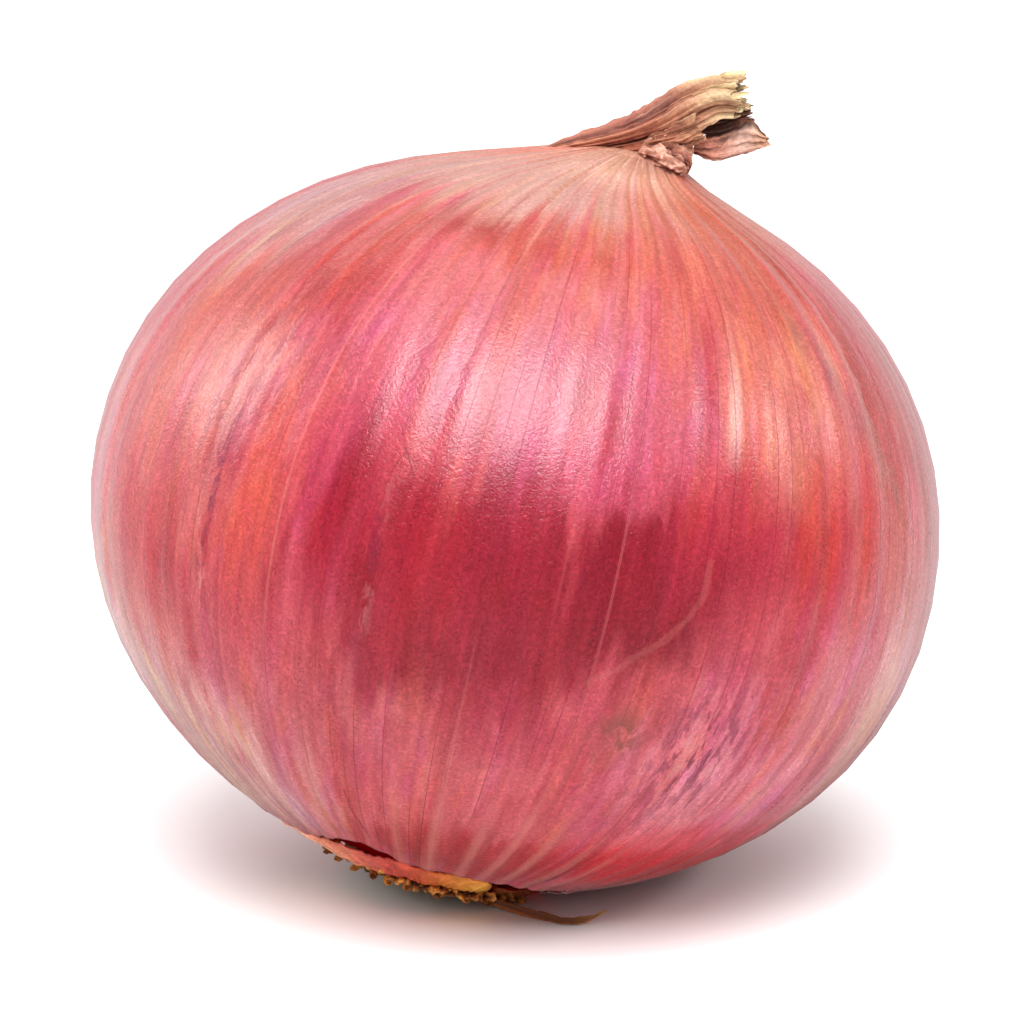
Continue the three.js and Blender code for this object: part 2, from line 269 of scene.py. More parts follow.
@dataclass(frozen=True)
class BulbForm:
    """The driving sizes of the bulb and how it lies, the same as the CAD's.

    The outline is an ellipse below its widest ring and a slightly squarer curve above it, with a
    low peak under the neck, and it leans by lean degrees towards a heading counted from +X to +Y.
    """

    equator_radius: float = 40.0
    top_height: float = 34.7
    base_depth: float = 34.1
    shoulder_power: float = 2.1
    neck_rise: float = 2.6
    neck_spread: float = 7.7
    neck_pull: tuple[float, float] = (2.2, -1.2)
    neck_drift: float = 1.6
    root_drift: float = -0.5
    lean: float = 15.0
    lean_heading: float = 32.4
    centre: Place = (-0.1055, -0.0443, 33.6)
    plate_radius: float = 8.7
    back_edge_radius: float = 10.6
    torn_edge_radius: float = 17.2

    def settle(self, longitude: Array, radius: Array, height: Array) -> Array:
        """Moves places given in the onion's own frame to where the onion rests.

        Args:
            longitude: in radians.
            radius: from the axis.
            height: above the widest ring, along the axis.

        Returns:
            Points in the frame, in millimetres.
        """
        above = height > 0
        drift = np.where(above, self.neck_drift, self.root_drift) * (height / self.equator_radius) ** 2
        pull = np.where(above, np.exp(-((radius / self.neck_spread) ** 2)), 0.0)
        x = np.sin(longitude) * radius + drift + pull * self.neck_pull[0]
        y = -np.cos(longitude) * radius + pull * self.neck_pull[1]
        heading = math.radians(self.lean_heading)
        axis = Vector((-math.sin(heading), math.cos(heading), 0.0))
        rest = np.array(Matrix.Rotation(math.radians(self.lean), 3, axis))
        return np.stack([x, y, height], -1) @ rest.T + np.array(self.centre)

    def place(self, longitude: Array, polar: Array, proud: Array | float = 0.0) -> Array:
        """Points on the skin's outline, moved outwards by proud.

        Args:
            longitude: in radians.
            polar: in radians from the root.
            proud: the height above the outline.

        Returns:
            Points in the frame, in millimetres.
        """
        longitude, polar, proud = np.broadcast_arrays(longitude, polar, np.asarray(proud, float))
        lower = polar < math.pi / 2
        power = np.where(lower, 1.0, 2.0 / self.shoulder_power)
        radius = (self.equator_radius + proud) * np.clip(np.sin(polar), 0.0, None) ** power
        tall = np.where(lower, self.base_depth, self.top_height) + proud
        height = tall * np.abs(np.cos(polar)) ** power
        rise = self.neck_rise * np.exp(-((radius / self.neck_spread) ** 2))
        return self.settle(longitude, radius, np.where(lower, -height, height + rise))

    def polar_at(self, radius: Array | float) -> Array:
        """The polar angle of a ring below the widest one, by its radius."""
        return np.arcsin(np.asarray(radius, float) / self.equator_radius)

    def edge_radius(self, longitude: Array) -> Array:
        """Where the outer skin ends round the root: torn wide at the front, close behind.

        Args:
            longitude: in radians.

        Returns:
            The radius of the edge from the axis.
        """
        degrees = wrapped(np.degrees(longitude))
        torn = ease(degrees, -118, -82) * (1 - ease(degrees, 38, 70))
        notch = 3.2 * hill(degrees, -24, 13)
        wave = 0.35 * np.sin(9 * longitude) + 0.25 * np.sin(17 * longitude + 1)
        return mixed(self.back_edge_radius, self.torn_edge_radius + notch, torn) + wave


@dataclass(frozen=True)
class Veins:
    """The veins that run from root to neck: the clear ones at the front, evenly spread behind."""

    front: tuple[float, ...] = (
        -66, -58, -50, -41, -33, -25, -19, -12, -4, 5, 12, 18, 26, 33, 40, 46, 54, 62
    )
    spacing: float = 8.3
    jitter: float = 1.6
    seed: int = 11

    def longitudes(self) -> Array:
        """Every vein's longitude in degrees, growing, from the first front vein once round.

        Returns:
            The longitudes.
        """
        start, end = self.front[-1], self.front[0] + 360.0
        count = round((end - start) / self.spacing)
        behind = np.linspace(start, end, count + 1)[1:-1]
        shifts = np.random.default_rng(self.seed).uniform(-self.jitter, self.jitter, len(behind))
        return np.concatenate([self.front, behind + shifts])

    def phase(self, degrees: Array) -> Array:
        """A count that grows by one from vein to vein, whole at each vein.

        Args:
            degrees: longitudes, in any turn.

        Returns:
            The count at each longitude, continuous round the bulb up to a whole number.
        """
        ones = self.longitudes()
        every = np.concatenate([ones - 360.0, ones, ones + 360.0])
        return np.interp(degrees, every, np.arange(len(every)) - len(ones))

    def distance(self, longitude: Array, polar: Array) -> Array:
        """About how many millimetres each place lies from its nearest vein.

        Args:
            longitude: in radians.
            polar: in radians from the root.

        Returns:
            The distances.
        """
        phase = self.phase(np.degrees(longitude))
        gap = np.abs(phase - np.round(phase)) * math.radians(self.spacing)
        return gap * BULB.equator_radius * np.sin(polar)


BULB = BulbForm()
VEINS = Veins()


# --- Finishes -----------------------------------------------------------------------------------


class NodeBoard:
    """One material's node tree, with short calls for the nodes that the finishes share."""

    def __init__(self, name: str) -> None:
        """Starts a material with its surface shader joined to its output.

        Args:
            name: the material's name.
        """
        self.material = bpy.data.materials.new(name)
        self.material.use_nodes = True
        self.tree = self.material.node_tree
        self.tree.nodes.clear()
        self.shader = self.node("BsdfPrincipled")
        output = self.node("OutputMaterial")
        self.tree.links.new(self.shader.outputs["BSDF"], output.inputs["Surface"])

    def node(self, kind: str, **settings: object) -> bpy.types.Node:
        """Adds a node of a kind and sets its properties.

        Args:
            kind: its type, without the leading words.
            settings: its properties.

        Returns:
            The node.
        """
        made = self.tree.nodes.new("ShaderNode" + kind)
        for key, value in settings.items():
            setattr(made, key, value)
        return made

    def feed(self, target: Socket, value: Socket | float | Sequence[float]) -> None:
        """Joins a socket to target, or sets target's own value."""
        if isinstance(value, bpy.types.NodeSocket):
            self.tree.links.new(value, target)
        else:
            target.default_value = value

    def set(self, **values: Socket | float | Sequence[float]) -> None:
        """Feeds the shader's inputs, named with underscores for spaces."""
        for key, value in values.items():
            self.feed(self.shader.inputs[key.replace("_", " ")], value)

    def math(self, operation: str, *values: Socket | float) -> Socket:
        """The result of one Math node.

        Args:
            operation: which sum it does.
            values: its inputs, in order.

        Returns:
            The result.
        """
        made = self.node("Math", operation=operation)
        for target, value in zip(made.inputs, values):
            self.feed(target, value)
        return made.outputs[0]

    def blend(self, share: Socket | float, first: object, second: object, mode: str = "MIX") -> Socket:
        """Two colours mixed by a share, in one of the Mix node's modes.

        Args:
            share: how much of the mix applies.
            first: the colour underneath.
            second: the colour on top.
            mode: how the two are mixed.

        Returns:
            The mixed colour.
        """
        made = self.node("Mix", data_type="RGBA", blend_type=mode)
        for index, value in ((0, share), (6, first), (7, second)):
            self.feed(made.inputs[index], value)
        return made.outputs[2]

    def fade(
        self,
        value: Socket,
        low: Socket | float,
        high: Socket | float,
        start: float = 0.0,
        end: float = 1.0,
    ) -> Socket:
        """A smooth change from start, where value is low, to end, where it is high.

        Args:
            value: what the change follows.
            low: where it starts.
            high: where it ends.
            start: the result at low and below.
            end: the result at high and above.

        Returns:
            The changing value.
        """
        made = self.node("MapRange", interpolation_type="SMOOTHSTEP")
        for target, number in zip(made.inputs, (value, low, high, start, end)):
            self.feed(target, number)
        return made.outputs[0]

    def shade(self, colour: Socket, value: Socket) -> Socket:
        """A colour made darker or lighter by a value round 1.

        Args:
            colour: the colour.
            value: what it is multiplied by.

        Returns:
            The shaded colour.
        """
        grey = self.node("CombineXYZ")
        for target in grey.inputs:
            self.feed(target, value)
        return self.blend(1.0, colour, grey.outputs[0], "MULTIPLY")

    def attribute(self, name: str) -> Socket:
        """A vector stored at the mesh's points."""
        return self.node("Attribute", attribute_name=name).outputs["Vector"]

    def split(self, vector: Socket) -> tuple[Socket, Socket, Socket]:
        """The three parts of a vector.

        Args:
            vector: the vector.

        Returns:
            Its x, y and z.
        """
        made = self.node("SeparateXYZ")
        self.feed(made.inputs[0], vector)
        return tuple(made.outputs)

    def lay(self, name: str = "Lay") -> tuple[Socket, Socket]:
        """The two parts of a UV map: the turn round the piece, and the way along it."""
        return self.split(self.node("UVMap", uv_map=name).outputs[0])[:2]

    def millimetres(self) -> Socket:
        """The place on the piece, counted in millimetres.

        Returns:
            The coordinates.
        """
        made = self.node("VectorMath", operation="SCALE")
        self.feed(made.inputs[0], self.node("TexCoord").outputs["Object"])
        self.feed(made.inputs["Scale"], 1.0 / MM)
        return made.outputs[0]

    def round(self, turn: Socket, along: Socket, stretch: float) -> Socket:
        """Coordinates without a seam for marks that run along a piece.

        Args:
            turn: the turn round it, from 0 to 1.
            along: the way along it.
            stretch: how much room one unit along has, so a small number draws marks out long.

        Returns:
            The coordinates.
        """
        angle = self.math("MULTIPLY", turn, 2 * math.pi)
        made = self.node("CombineXYZ")
        self.feed(made.inputs[0], self.math("COSINE", angle))
        self.feed(made.inputs[1], self.math("SINE", angle))
        self.feed(made.inputs[2], self.math("MULTIPLY", along, stretch))
        return made.outputs[0]

    def noise(
        self, place: Socket, scale: float, detail: float = 2.0, rough: float = 0.5, warp: float = 0.0
    ) -> Socket:
        """A noise texture's value.

        Args:
            place: the coordinates that it reads.
            scale: how many marks fit one unit.
            detail: how many finer layers it has.
            rough: how strong the finer layers are.
            warp: how far it is twisted.

        Returns:
            The value, round a half.
        """
        made = self.node("TexNoise")
        self.feed(made.inputs["Vector"], place)
        for key, value in (("Scale", scale), ("Detail", detail), ("Roughness", rough), ("Distortion", warp)):
            self.feed(made.inputs[key], value)
        return made.outputs[0]

    def vector(self, operation: str, *values: Socket | Sequence[float]) -> bpy.types.Node:
        """One Vector Math node, with its inputs fed in order.

        Args:
            operation: which sum it does.
            values: its inputs.

        Returns:
            The node.
        """
        made = self.node("VectorMath", operation=operation)
        for target, value in zip(made.inputs, values):
            self.feed(target, value)
        return made

    def stroke(self, place: Socket, points: Sequence[tuple[float, float]], wide: float) -> Socket:
        """How close each place is to a thin line through some points.

        Args:
            place: flat coordinates.
            points: the line's points in the same coordinates.
            wide: how far from the line its mark ends.

        Returns:
            1 on the line, 0 beyond its width.
        """
        nearest: Socket | float = 1000.0
        for start, end in zip(points, points[1:]):
            run = np.subtract(end, start)
            along = (*(run / float(run @ run)), 0.0)
            away = self.vector("SUBTRACT", place, (*start, 0.0)).outputs[0]
            share = self.math("MAXIMUM", self.vector("DOT_PRODUCT", away, along).outputs["Value"], 0.0)
            reach = self.vector("SCALE", (*run, 0.0))
            self.feed(reach.inputs["Scale"], self.math("MINIMUM", share, 1.0))
            gap = self.vector("DISTANCE", away, reach.outputs[0]).outputs["Value"]
            nearest = self.math("MINIMUM", nearest, gap)
        return self.fade(nearest, wide * 0.3, wide, 1.0, 0.0)

    def total(self, *terms: tuple[Socket, float]) -> Socket:
        """The sum of some values, each times its own weight.

        Args:
            terms: each value with its weight.

        Returns:
            The sum.
        """
        first, weight = terms[0]
        result = self.math("MULTIPLY", first, weight)
        for value, weight in terms[1:]:
            result = self.math("MULTIPLY_ADD", value, weight, result)
        return result

    def bump(self, height: Socket, depth: float, target: str = "Normal") -> None:
        """Gives the shader fine relief, where a height of 1 stands depth millimetres proud.

        Args:
            height: the relief.
            depth: in millimetres.
            target: which of the shader's normals it bends.
        """
        made = self.node("Bump")
        self.feed(made.inputs["Strength"], 1.0)
        self.feed(made.inputs["Distance"], depth * MM)
        self.feed(made.inputs["Height"], height)
        self.feed(self.shader.inputs[target], made.outputs[0])


class WorldBoard(NodeBoard):
    """The surroundings' node tree, with the same short calls."""

    def __init__(self, world: bpy.types.World) -> None:
        """Takes up a world's own tree, with its white background.

        Args:
            world: the world, with its nodes on.
        """
        self.tree = world.node_tree
        self.shader = self.tree.nodes["Background"]
        self.feed(self.shader.inputs["Color"], (1.0, 1.0, 1.0, 1.0))


@dataclass(frozen=True)
class SkinFinish:
    """The papery outer skin: satin and pearly, streaked, veined and grained from root to neck.

    cracks, slits and creases are thin lines through places given as longitude and polar angle in
    degrees. degree_sizes is how many millimetres of skin one degree covers, round it and along it.
    """

    crimson: tuple[float, float, float, float] = (0.82, 0.50, 0.58, 1.0)
    orange: tuple[float, float, float, float] = (1.08, 1.14, 0.70, 1.0)
    magenta: tuple[float, float, float, float] = (0.96, 0.76, 1.20, 1.0)
    pale: tuple[float, float, float, float] = (1.16, 1.60, 1.52, 1.0)
    pearl: str = "fff4f6"
    scuffed: str = "8c2c50"
    painted_glint: str = "f0a8a8"
    rib: str = "f28c80"
    line: str = "98163a"
    scab: str = "b05048"
    gloss: float = 0.30
    relief: float = 0.045
    coat_share: float = 0.55
    coat_low: float = 0.6
    crack_share: float = 0.55
    slit_share: float = 0.7
    degree_sizes: tuple[float, float] = (0.66, 0.61)
    cracks: tuple[tuple[tuple[float, float], ...], ...] = (
        ((-20.5, 108.0), (-18.6, 103.5), (-19.6, 99.5)),
        ((-18.6, 103.5), (-16.4, 100.5)),
    )
    slits: tuple[tuple[tuple[float, float], ...], ...] = (
        ((-21.8, 46.0), (-21.4, 41.5), (-20.0, 38.0), (-18.6, 34.0)),
    )
    creases: tuple[tuple[tuple[float, float], ...], ...] = (
        ((24.0, 97.0), (23.4, 91.0), (20.5, 86.0), (15.5, 81.0), (11.5, 77.0)),
    )

    def make(self) -> bpy.types.Material:
        """Builds the material.

        Returns:
            The material, which reads the Tint, Marks and Spots vectors and the Lay and Veins maps.
        """
        board = NodeBoard("papery red skin")
        turn, along = board.lay()
        streaks = board.round(turn, along, 0.17)
        blots = board.round(turn, along, 0.8)
        place = board.millimetres()
        fine = board.noise(streaks, 55.0, 2.0, 0.6)
        grain = board.noise(place, 3.4, 2.0, 0.6)
        worms = board.math("ABSOLUTE", board.math("SUBTRACT", board.noise(place, 1.7, 2.0, 0.6, 0.5), 0.5))
        scuff, vein_depth, root = board.split(board.attribute("Marks"))
        scar, mottle, soft = board.split(board.attribute("Spots"))

        colour = self._blotched(board, board.attribute("Tint"), blots, streaks, mottle)
        colour = board.shade(colour, board.fade(fine, 0.25, 0.75, 0.90, 1.10))
        colour = board.shade(colour, board.fade(worms, 0.0, 0.14, 0.92, 1.10))
        colour = board.shade(colour, board.fade(grain, 0.25, 0.75, 0.84, 1.16))
        crinkle = board.noise(blots, 34.0, 3.0, 0.7, 0.4)
        film = board.math("MULTIPLY", scuff, board.fade(crinkle, 0.42, 0.54, 1.0, 0.0))
        colour = board.blend(film, colour, opaque(self.scuffed))
        # Painted highlight: the crinkle's high parts on scuffed places take a pale glint colour.
        painted_glint = board.math("MULTIPLY", scuff, board.fade(crinkle, 0.54, 0.66, 0.0, 0.6))
        colour = board.blend(painted_glint, colour, opaque(self.painted_glint))

        line, pale, rib = self._lines(board, streaks, along)
        ragged = board.fade(board.noise(streaks, 30.0, 3.0, 0.6), 0.3, 0.6, 0.35, 1.0)
        share = board.math("MULTIPLY", board.math("MULTIPLY", rib, ragged), root)
        colour = board.blend(share, colour, opaque(self.rib))
        colour = board.blend(board.math("MULTIPLY", pale, 0.35), colour, opaque(self.rib))
        flat, crack, crease_highlight = self._strokes(board, turn, along)
        wrinkles = board.noise(flat, 0.6, 2.0, 0.6, 1.0)
        crust = board.math("MULTIPLY", scar, board.fade(wrinkles, 0.40, 0.58, 0.2, 1.0))
        colour = board.blend(crust, colour, opaque(self.scab))
        # Painted highlight: each crease is drawn only as a faint pale line along its lit edge.
        colour = board.blend(board.math("MULTIPLY", crease_highlight, 0.14), colour, opaque(self.rib))
        dark = board.math("MAXIMUM", board.math("MULTIPLY", line, vein_depth), crack)
        colour = board.blend(dark, colour, opaque(self.line))

        coat = board.fade(worms, 0.0, 0.12, self.coat_low, 1.0)
        patchy = board.noise(streaks, 22.0, 2.0, 0.6)
        coat = board.math("MULTIPLY", coat, board.fade(patchy, 0.38, 0.62, self.coat_low, 1.0))
        coat = board.math("MULTIPLY", coat, board.fade(dark, 0.0, 0.8, 1.0, 0.1))
        rough = board.total(
            (grain, 0.12), (fine, 0.1), (scuff, 0.12), (dark, 0.1), (scar, 0.15), (soft, 0.2)
        )
        board.set(
            Base_Color=colour,
            Roughness=board.math("ADD", rough, self.gloss - 0.11),
            IOR=1.5,
            Specular_Tint=opaque(self.pearl, 1.0),
            Coat_Weight=coat,
            Coat_Roughness=0.28,
        )
        grained = board.total((grain, 1.0), (worms, 1.6))
        rough_scar = board.math("MULTIPLY", scar, wrinkles)
        rough_scuff = board.math("MULTIPLY", scuff, board.total((grain, 1.0), (crinkle, 3.0)))
        height = board.total((grained, 1.0), (fine, 0.35), (rough_scar, 3.0), (rough_scuff, 1.0))
        board.bump(height, self.relief)
        board.bump(grained, self.relief * self.coat_share, target="Coat Normal")
        return board.material

    def _blotched(
        self, board: NodeBoard, colour: Socket, blots: Socket, streaks: Socket, mottle: Socket
    ) -> Socket:
        """The colour broken up by ragged crimson, orange, magenta and pale blotches.

        Args:
            board: the material's nodes.
            colour: the skin's colour.
            blots: coordinates for marks twice as tall as wide.
            streaks: coordinates for marks that run along the skin.
            mottle: how strong the blotches are.

        Returns:
            The broken colour.
        """
        tall = board.noise(streaks, 15.0, 3.0, 0.6, 0.5)
        kinds = (
            (self.crimson, 7.0, 0.47, 0.59, 0.75),
            (self.orange, 9.3, 0.48, 0.60, 0.7),
            (self.magenta, 11.7, 0.48, 0.60, 0.7),
            (self.pale, 13.1, 0.48, 0.60, 0.75),
        )
        for tint, scale, low, high, most in kinds:
            spread = board.noise(blots, scale, 3.0, 0.66)
            share = board.fade(board.total((spread, 0.6), (tall, 0.4)), low, high, 0.0, most)
            share = board.math("MULTIPLY", share, mottle)
            colour = board.blend(share, colour, board.blend(1.0, colour, tint, "MULTIPLY"))
        return colour

    def _strokes(self, board: NodeBoard, turn: Socket, along: Socket) -> tuple[Socket, Socket, Socket]:
        """The skin laid flat about its front, in millimetres, and the cracks and creases on it.

        Args:
            board: the material's nodes.
            turn: the turn round the skin, from 0 to 1.
            along: the polar angle, from 0 to 1.

        Returns:
            The flat coordinates, and the share of cracks and of creases at a place.
        """
        round_mm, along_mm = self.degree_sizes
        flat = board.node("CombineXYZ")
        board.feed(flat.inputs[0], board.math("MULTIPLY_ADD", turn, 360.0 * round_mm, -180.0 * round_mm))
        board.feed(flat.inputs[1], board.math("MULTIPLY", along, 180.0 * along_mm))
        wobble = board.node("TexNoise")
        board.feed(wobble.inputs["Vector"], flat.outputs[0])
        board.feed(wobble.inputs["Scale"], 0.5)
        shift = board.vector("SUBTRACT", wobble.outputs["Color"], (0.5, 0.5, 0.5)).outputs[0]
        bent = board.vector("MULTIPLY_ADD", shift, (1.1, 1.1, 0.0), flat.outputs[0]).outputs[0]
        bent = board.vector("MULTIPLY", bent, (1.0, 1.0, 0.0)).outputs[0]
        found = []
        for lines, width in ((self.cracks, 0.11), (self.creases, 0.5), (self.slits, 0.14)):
            share: Socket | float = 0.0
            for line in lines:
                points = [(longitude * round_mm, polar * along_mm) for longitude, polar in line]
                share = board.math("MAXIMUM", share, board.stroke(bent, points, width))
            found.append(share)
        cracks = board.math("MULTIPLY", found[0], self.crack_share)
        slits = board.math("MULTIPLY", found[2], self.slit_share)
        return flat.outputs[0], board.math("MAXIMUM", cracks, slits), found[1]

    def _lines(self, board: NodeBoard, streaks: Socket, along: Socket) -> tuple[Socket, Socket, Socket]:
        """The veins' thin dark lines, the pale lines beside some, and the broad pale ribs.

        Args:
            board: the material's nodes.
            streaks: coordinates for marks that run along the skin.
            along: the polar angle, from 0 to 1.

        Returns:
            The share of each of the three at a place.
        """
        phase = board.lay("Veins")[0]
        wander = board.noise(streaks, 5.0, 3.0)
        phase = board.math("MULTIPLY_ADD", wander, 0.24, board.math("SUBTRACT", phase, 0.12))
        ring = board.math("SINE", board.math("MULTIPLY", along, math.pi))
        near = board.math("MULTIPLY", board.math("PINGPONG", phase, 0.5), ring)
        quarter = board.math("MULTIPLY", phase, 3.0)
        between = board.math("MULTIPLY", board.math("PINGPONG", quarter, 0.5), ring)
        broken = board.fade(board.noise(streaks, 8.0, 2.0, 0.6), 0.51, 0.60)
        worn = board.fade(board.noise(streaks, 17.0, 2.0, 0.5), 0.50, 0.58)
        seldom = board.fade(board.noise(streaks, 6.1, 1.0, 0.5), 0.52, 0.62)
        main = board.math("MULTIPLY", board.fade(near, 0.005, 0.018, 0.65, 0.0), broken)
        small = board.math("MULTIPLY", board.fade(between, 0.010, 0.04, 0.7, 0.0), worn)
        pale = board.math("MULTIPLY", board.fade(near, 0.01, 0.035, 1.0, 0.0), board.fade(broken, 0.6, 0.0))
        pale = board.math("MULTIPLY", pale, seldom)
        rib = board.fade(near, 0.03, 0.16, 1.0, 0.0)
        return board.math("MAXIMUM", main, small), pale, rib


@dataclass(frozen=True)
class FleshFinish:
    """The moist inner scale, dark red where the tear bares it.

    glow stands for the daylight that shines through the scale, and deep is painted shade: a darker red the
    further the scale lies under the torn edge.
    """

    colour: str = "a80c10"
    deep: str = "8c0406"
    gain: float = 1.2
    glow: str = "c8000c"
    glow_strength: float = 0.11

    def make(self) -> bpy.types.Material:
        """Builds the material.

        Returns:
            The material, which reads the Marks vector and the Lay map.
        """
        board = NodeBoard("dark red inner scale")
        turn, along = board.lay()
        streaks = board.round(turn, along, 0.3)
        fine = board.noise(streaks, 70.0, 3.0, 0.6)
        depth = board.split(board.attribute("Marks"))[0]
        # Painted shade: the scale turns a darker red the further it lies under the torn edge, in the recess.
        colour = board.blend(depth, opaque(self.colour, self.gain), opaque(self.deep, self.gain))
        board.set(
            Base_Color=board.shade(colour, board.fade(fine, 0.3, 0.7, 0.7, 1.2)),
            Roughness=board.fade(fine, 0.2, 0.8, 0.5, 0.7),
            IOR=1.45,
            Emission_Color=opaque(self.glow, 1.0),
            Emission_Strength=self.glow_strength,
        )
        board.bump(fine, 0.06)
        return board.material


@dataclass(frozen=True)
class DryFinish:
    """Any dry, fibrous piece: torn skin, neck leaves, the corky root. The fibres run along it."""

    name: str
    fibre: str
    dark: str
    gloss: float = 0.7
    fibres: float = 14.0
    stretch: float = 0.25
    speckle: float = 3.0
    relief: float = 0.09
    sheen: float = 0.15
    pale_share: float = 0.65
    dark_share: float = 0.7

    def make(self) -> bpy.types.Material:
        """Builds the material.

        Returns:
            The material, which reads the Tint vector and the Lay map.
        """
        board = NodeBoard(self.name)
        turn, along = board.lay()
        strands = board.round(turn, along, self.stretch)
        place = board.millimetres()
        fine = board.noise(strands, self.fibres, 4.0, 0.65, 0.2)
        coarse = board.noise(strands, self.fibres * 0.35, 2.0, 0.5, 0.3)
        specks = board.noise(place, self.speckle, 4.0, 0.7)
        colour = board.shade(board.attribute("Tint"), board.fade(coarse, 0.3, 0.7, 0.84, 1.25))
        colour = board.blend(board.fade(fine, 0.54, 0.72, 0.0, self.pale_share), colour, opaque(self.fibre))
        colour = board.blend(board.fade(fine, 0.46, 0.28, 0.0, self.dark_share), colour, opaque(self.dark))
        colour = board.shade(colour, board.fade(specks, 0.3, 0.7, 0.78, 1.18))
        board.set(
            Base_Color=colour,
            Roughness=board.math("MULTIPLY_ADD", specks, 0.2, self.gloss - 0.1),
            IOR=1.45,
            Sheen_Weight=self.sheen,
            Sheen_Roughness=0.5,
        )
        board.bump(board.total((fine, 1.0), (coarse, 0.8), (specks, 0.5)), self.relief)
        return board.material


class Finish(Enum):
    """The finishes, named as the record's material slots are."""

    SKIN = "skin"
    FLESH = "flesh"
    TORN_SKIN = "torn_skin"
    NECK_LEAF = "neck_leaf"
    NECK_END = "neck_end"
    ROOT = "root"


class Wardrobe:
    """Makes each finish once and dresses pieces in it."""

    def __init__(self) -> None:
        """Builds every material."""
        self.materials = {
            Finish.SKIN: SkinFinish().make(),
            Finish.FLESH: FleshFinish().make(),
            Finish.TORN_SKIN: DryFinish(
                "dry torn skin",
                "e8a468",
                "6e2010",
                gloss=0.62,
                fibres=40.0,
                sheen=0.0,
                pale_share=0.3,
                dark_share=0.5,
            ).make(),
            Finish.NECK_LEAF: DryFinish(
                "withered neck leaf",
                "f8c09c",
                "6c2418",
                gloss=0.75,
                fibres=11.0,
                relief=0.14,
                sheen=0.05,
                pale_share=0.55,
            ).make(),
            Finish.NECK_END: DryFinish(
                "pale fibrous leaf end", "f6dcb0", "8c5830", gloss=0.82, fibres=16.0, sheen=0.05
            ).make(),
            Finish.ROOT: DryFinish(
                "corky root",
                "f0b870",
                "3c1c08",
                gloss=0.9,
                fibres=9.0,
                stretch=0.6,
                speckle=2.4,
                relief=0.14,
                sheen=0.0,
                pale_share=0.5,
            ).make(),
        }

    def dress(self, piece: bpy.types.Object, finish: Finish, *nodes: str) -> bpy.types.Object:
        """Gives a piece its finish and its place on the onion, and hides the CAD nodes it stands for.

        Args:
            piece: the mesh object.
            finish: which finish it takes.
            nodes: the CAD nodes that it replaces.

        Returns:
            The same piece.
        """
        piece.data.materials.append(self.materials[finish])
        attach(piece, "root")
        if nodes:
            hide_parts(*nodes)
        log.info("%s: %d faces, %s", piece.name, len(piece.data.polygons), finish.value)
        return piece


# --- Outer skin and inner scale -----------------------------------------------------------------


@dataclass(frozen=True)
class Patch:
    """A patch of colour on the skin: an oval in longitude and polar angle, in degrees.

    soft is how wide its edge is, as a share of its size, and rag is how much noise frays it.
    """

    longitude: float
    polar: float
    wide: float
    tall: float
    colour: str
    strength: float = 1.0
    soft: float = 0.5
    rag: float = 0.5
    slant: float = 0.0

    def share(self, degrees: Array, polar: Array, fray: Array) -> Array:
        """How much of the patch's colour each place takes, from 0 to 1.

        Args:
            degrees: longitudes.
            polar: polar angles, in degrees.
            fray: noise that frays the edge.

        Returns:
            The shares.
        """
        up = polar - self.polar
        across = wrapped(degrees - self.longitude) - self.slant * up
        reach = np.sqrt((across / self.wide) ** 2 + (up / self.tall) ** 2) + self.rag * fray
        return self.strength * (1.0 - ease(reach, 1.0 - self.soft, 1.0 + self.soft))


@dataclass(frozen=True)
class Ridge:
    """A rough raised ridge that runs along the skin between two polar angles, in degrees."""

    longitude: float
    low: float
    high: float
    wide: float
    proud: float
    slant: float = 0.0

    def share(self, degrees: Array, polar: Array) -> Array:
        """How close each place is to the ridge's crest, from 0 to 1.

        Args:
            degrees: longitudes.
            polar: polar angles, in degrees.

        Returns:
            The shares.
        """
        middle = (self.low + self.high) / 2
        across = wrapped(degrees - self.longitude) - self.slant * (polar - middle)
        ends = ease(polar, self.low, self.low + 12) * (1 - ease(polar, self.high - 12, self.high))
        return hill(across, 0.0, self.wide) * ends


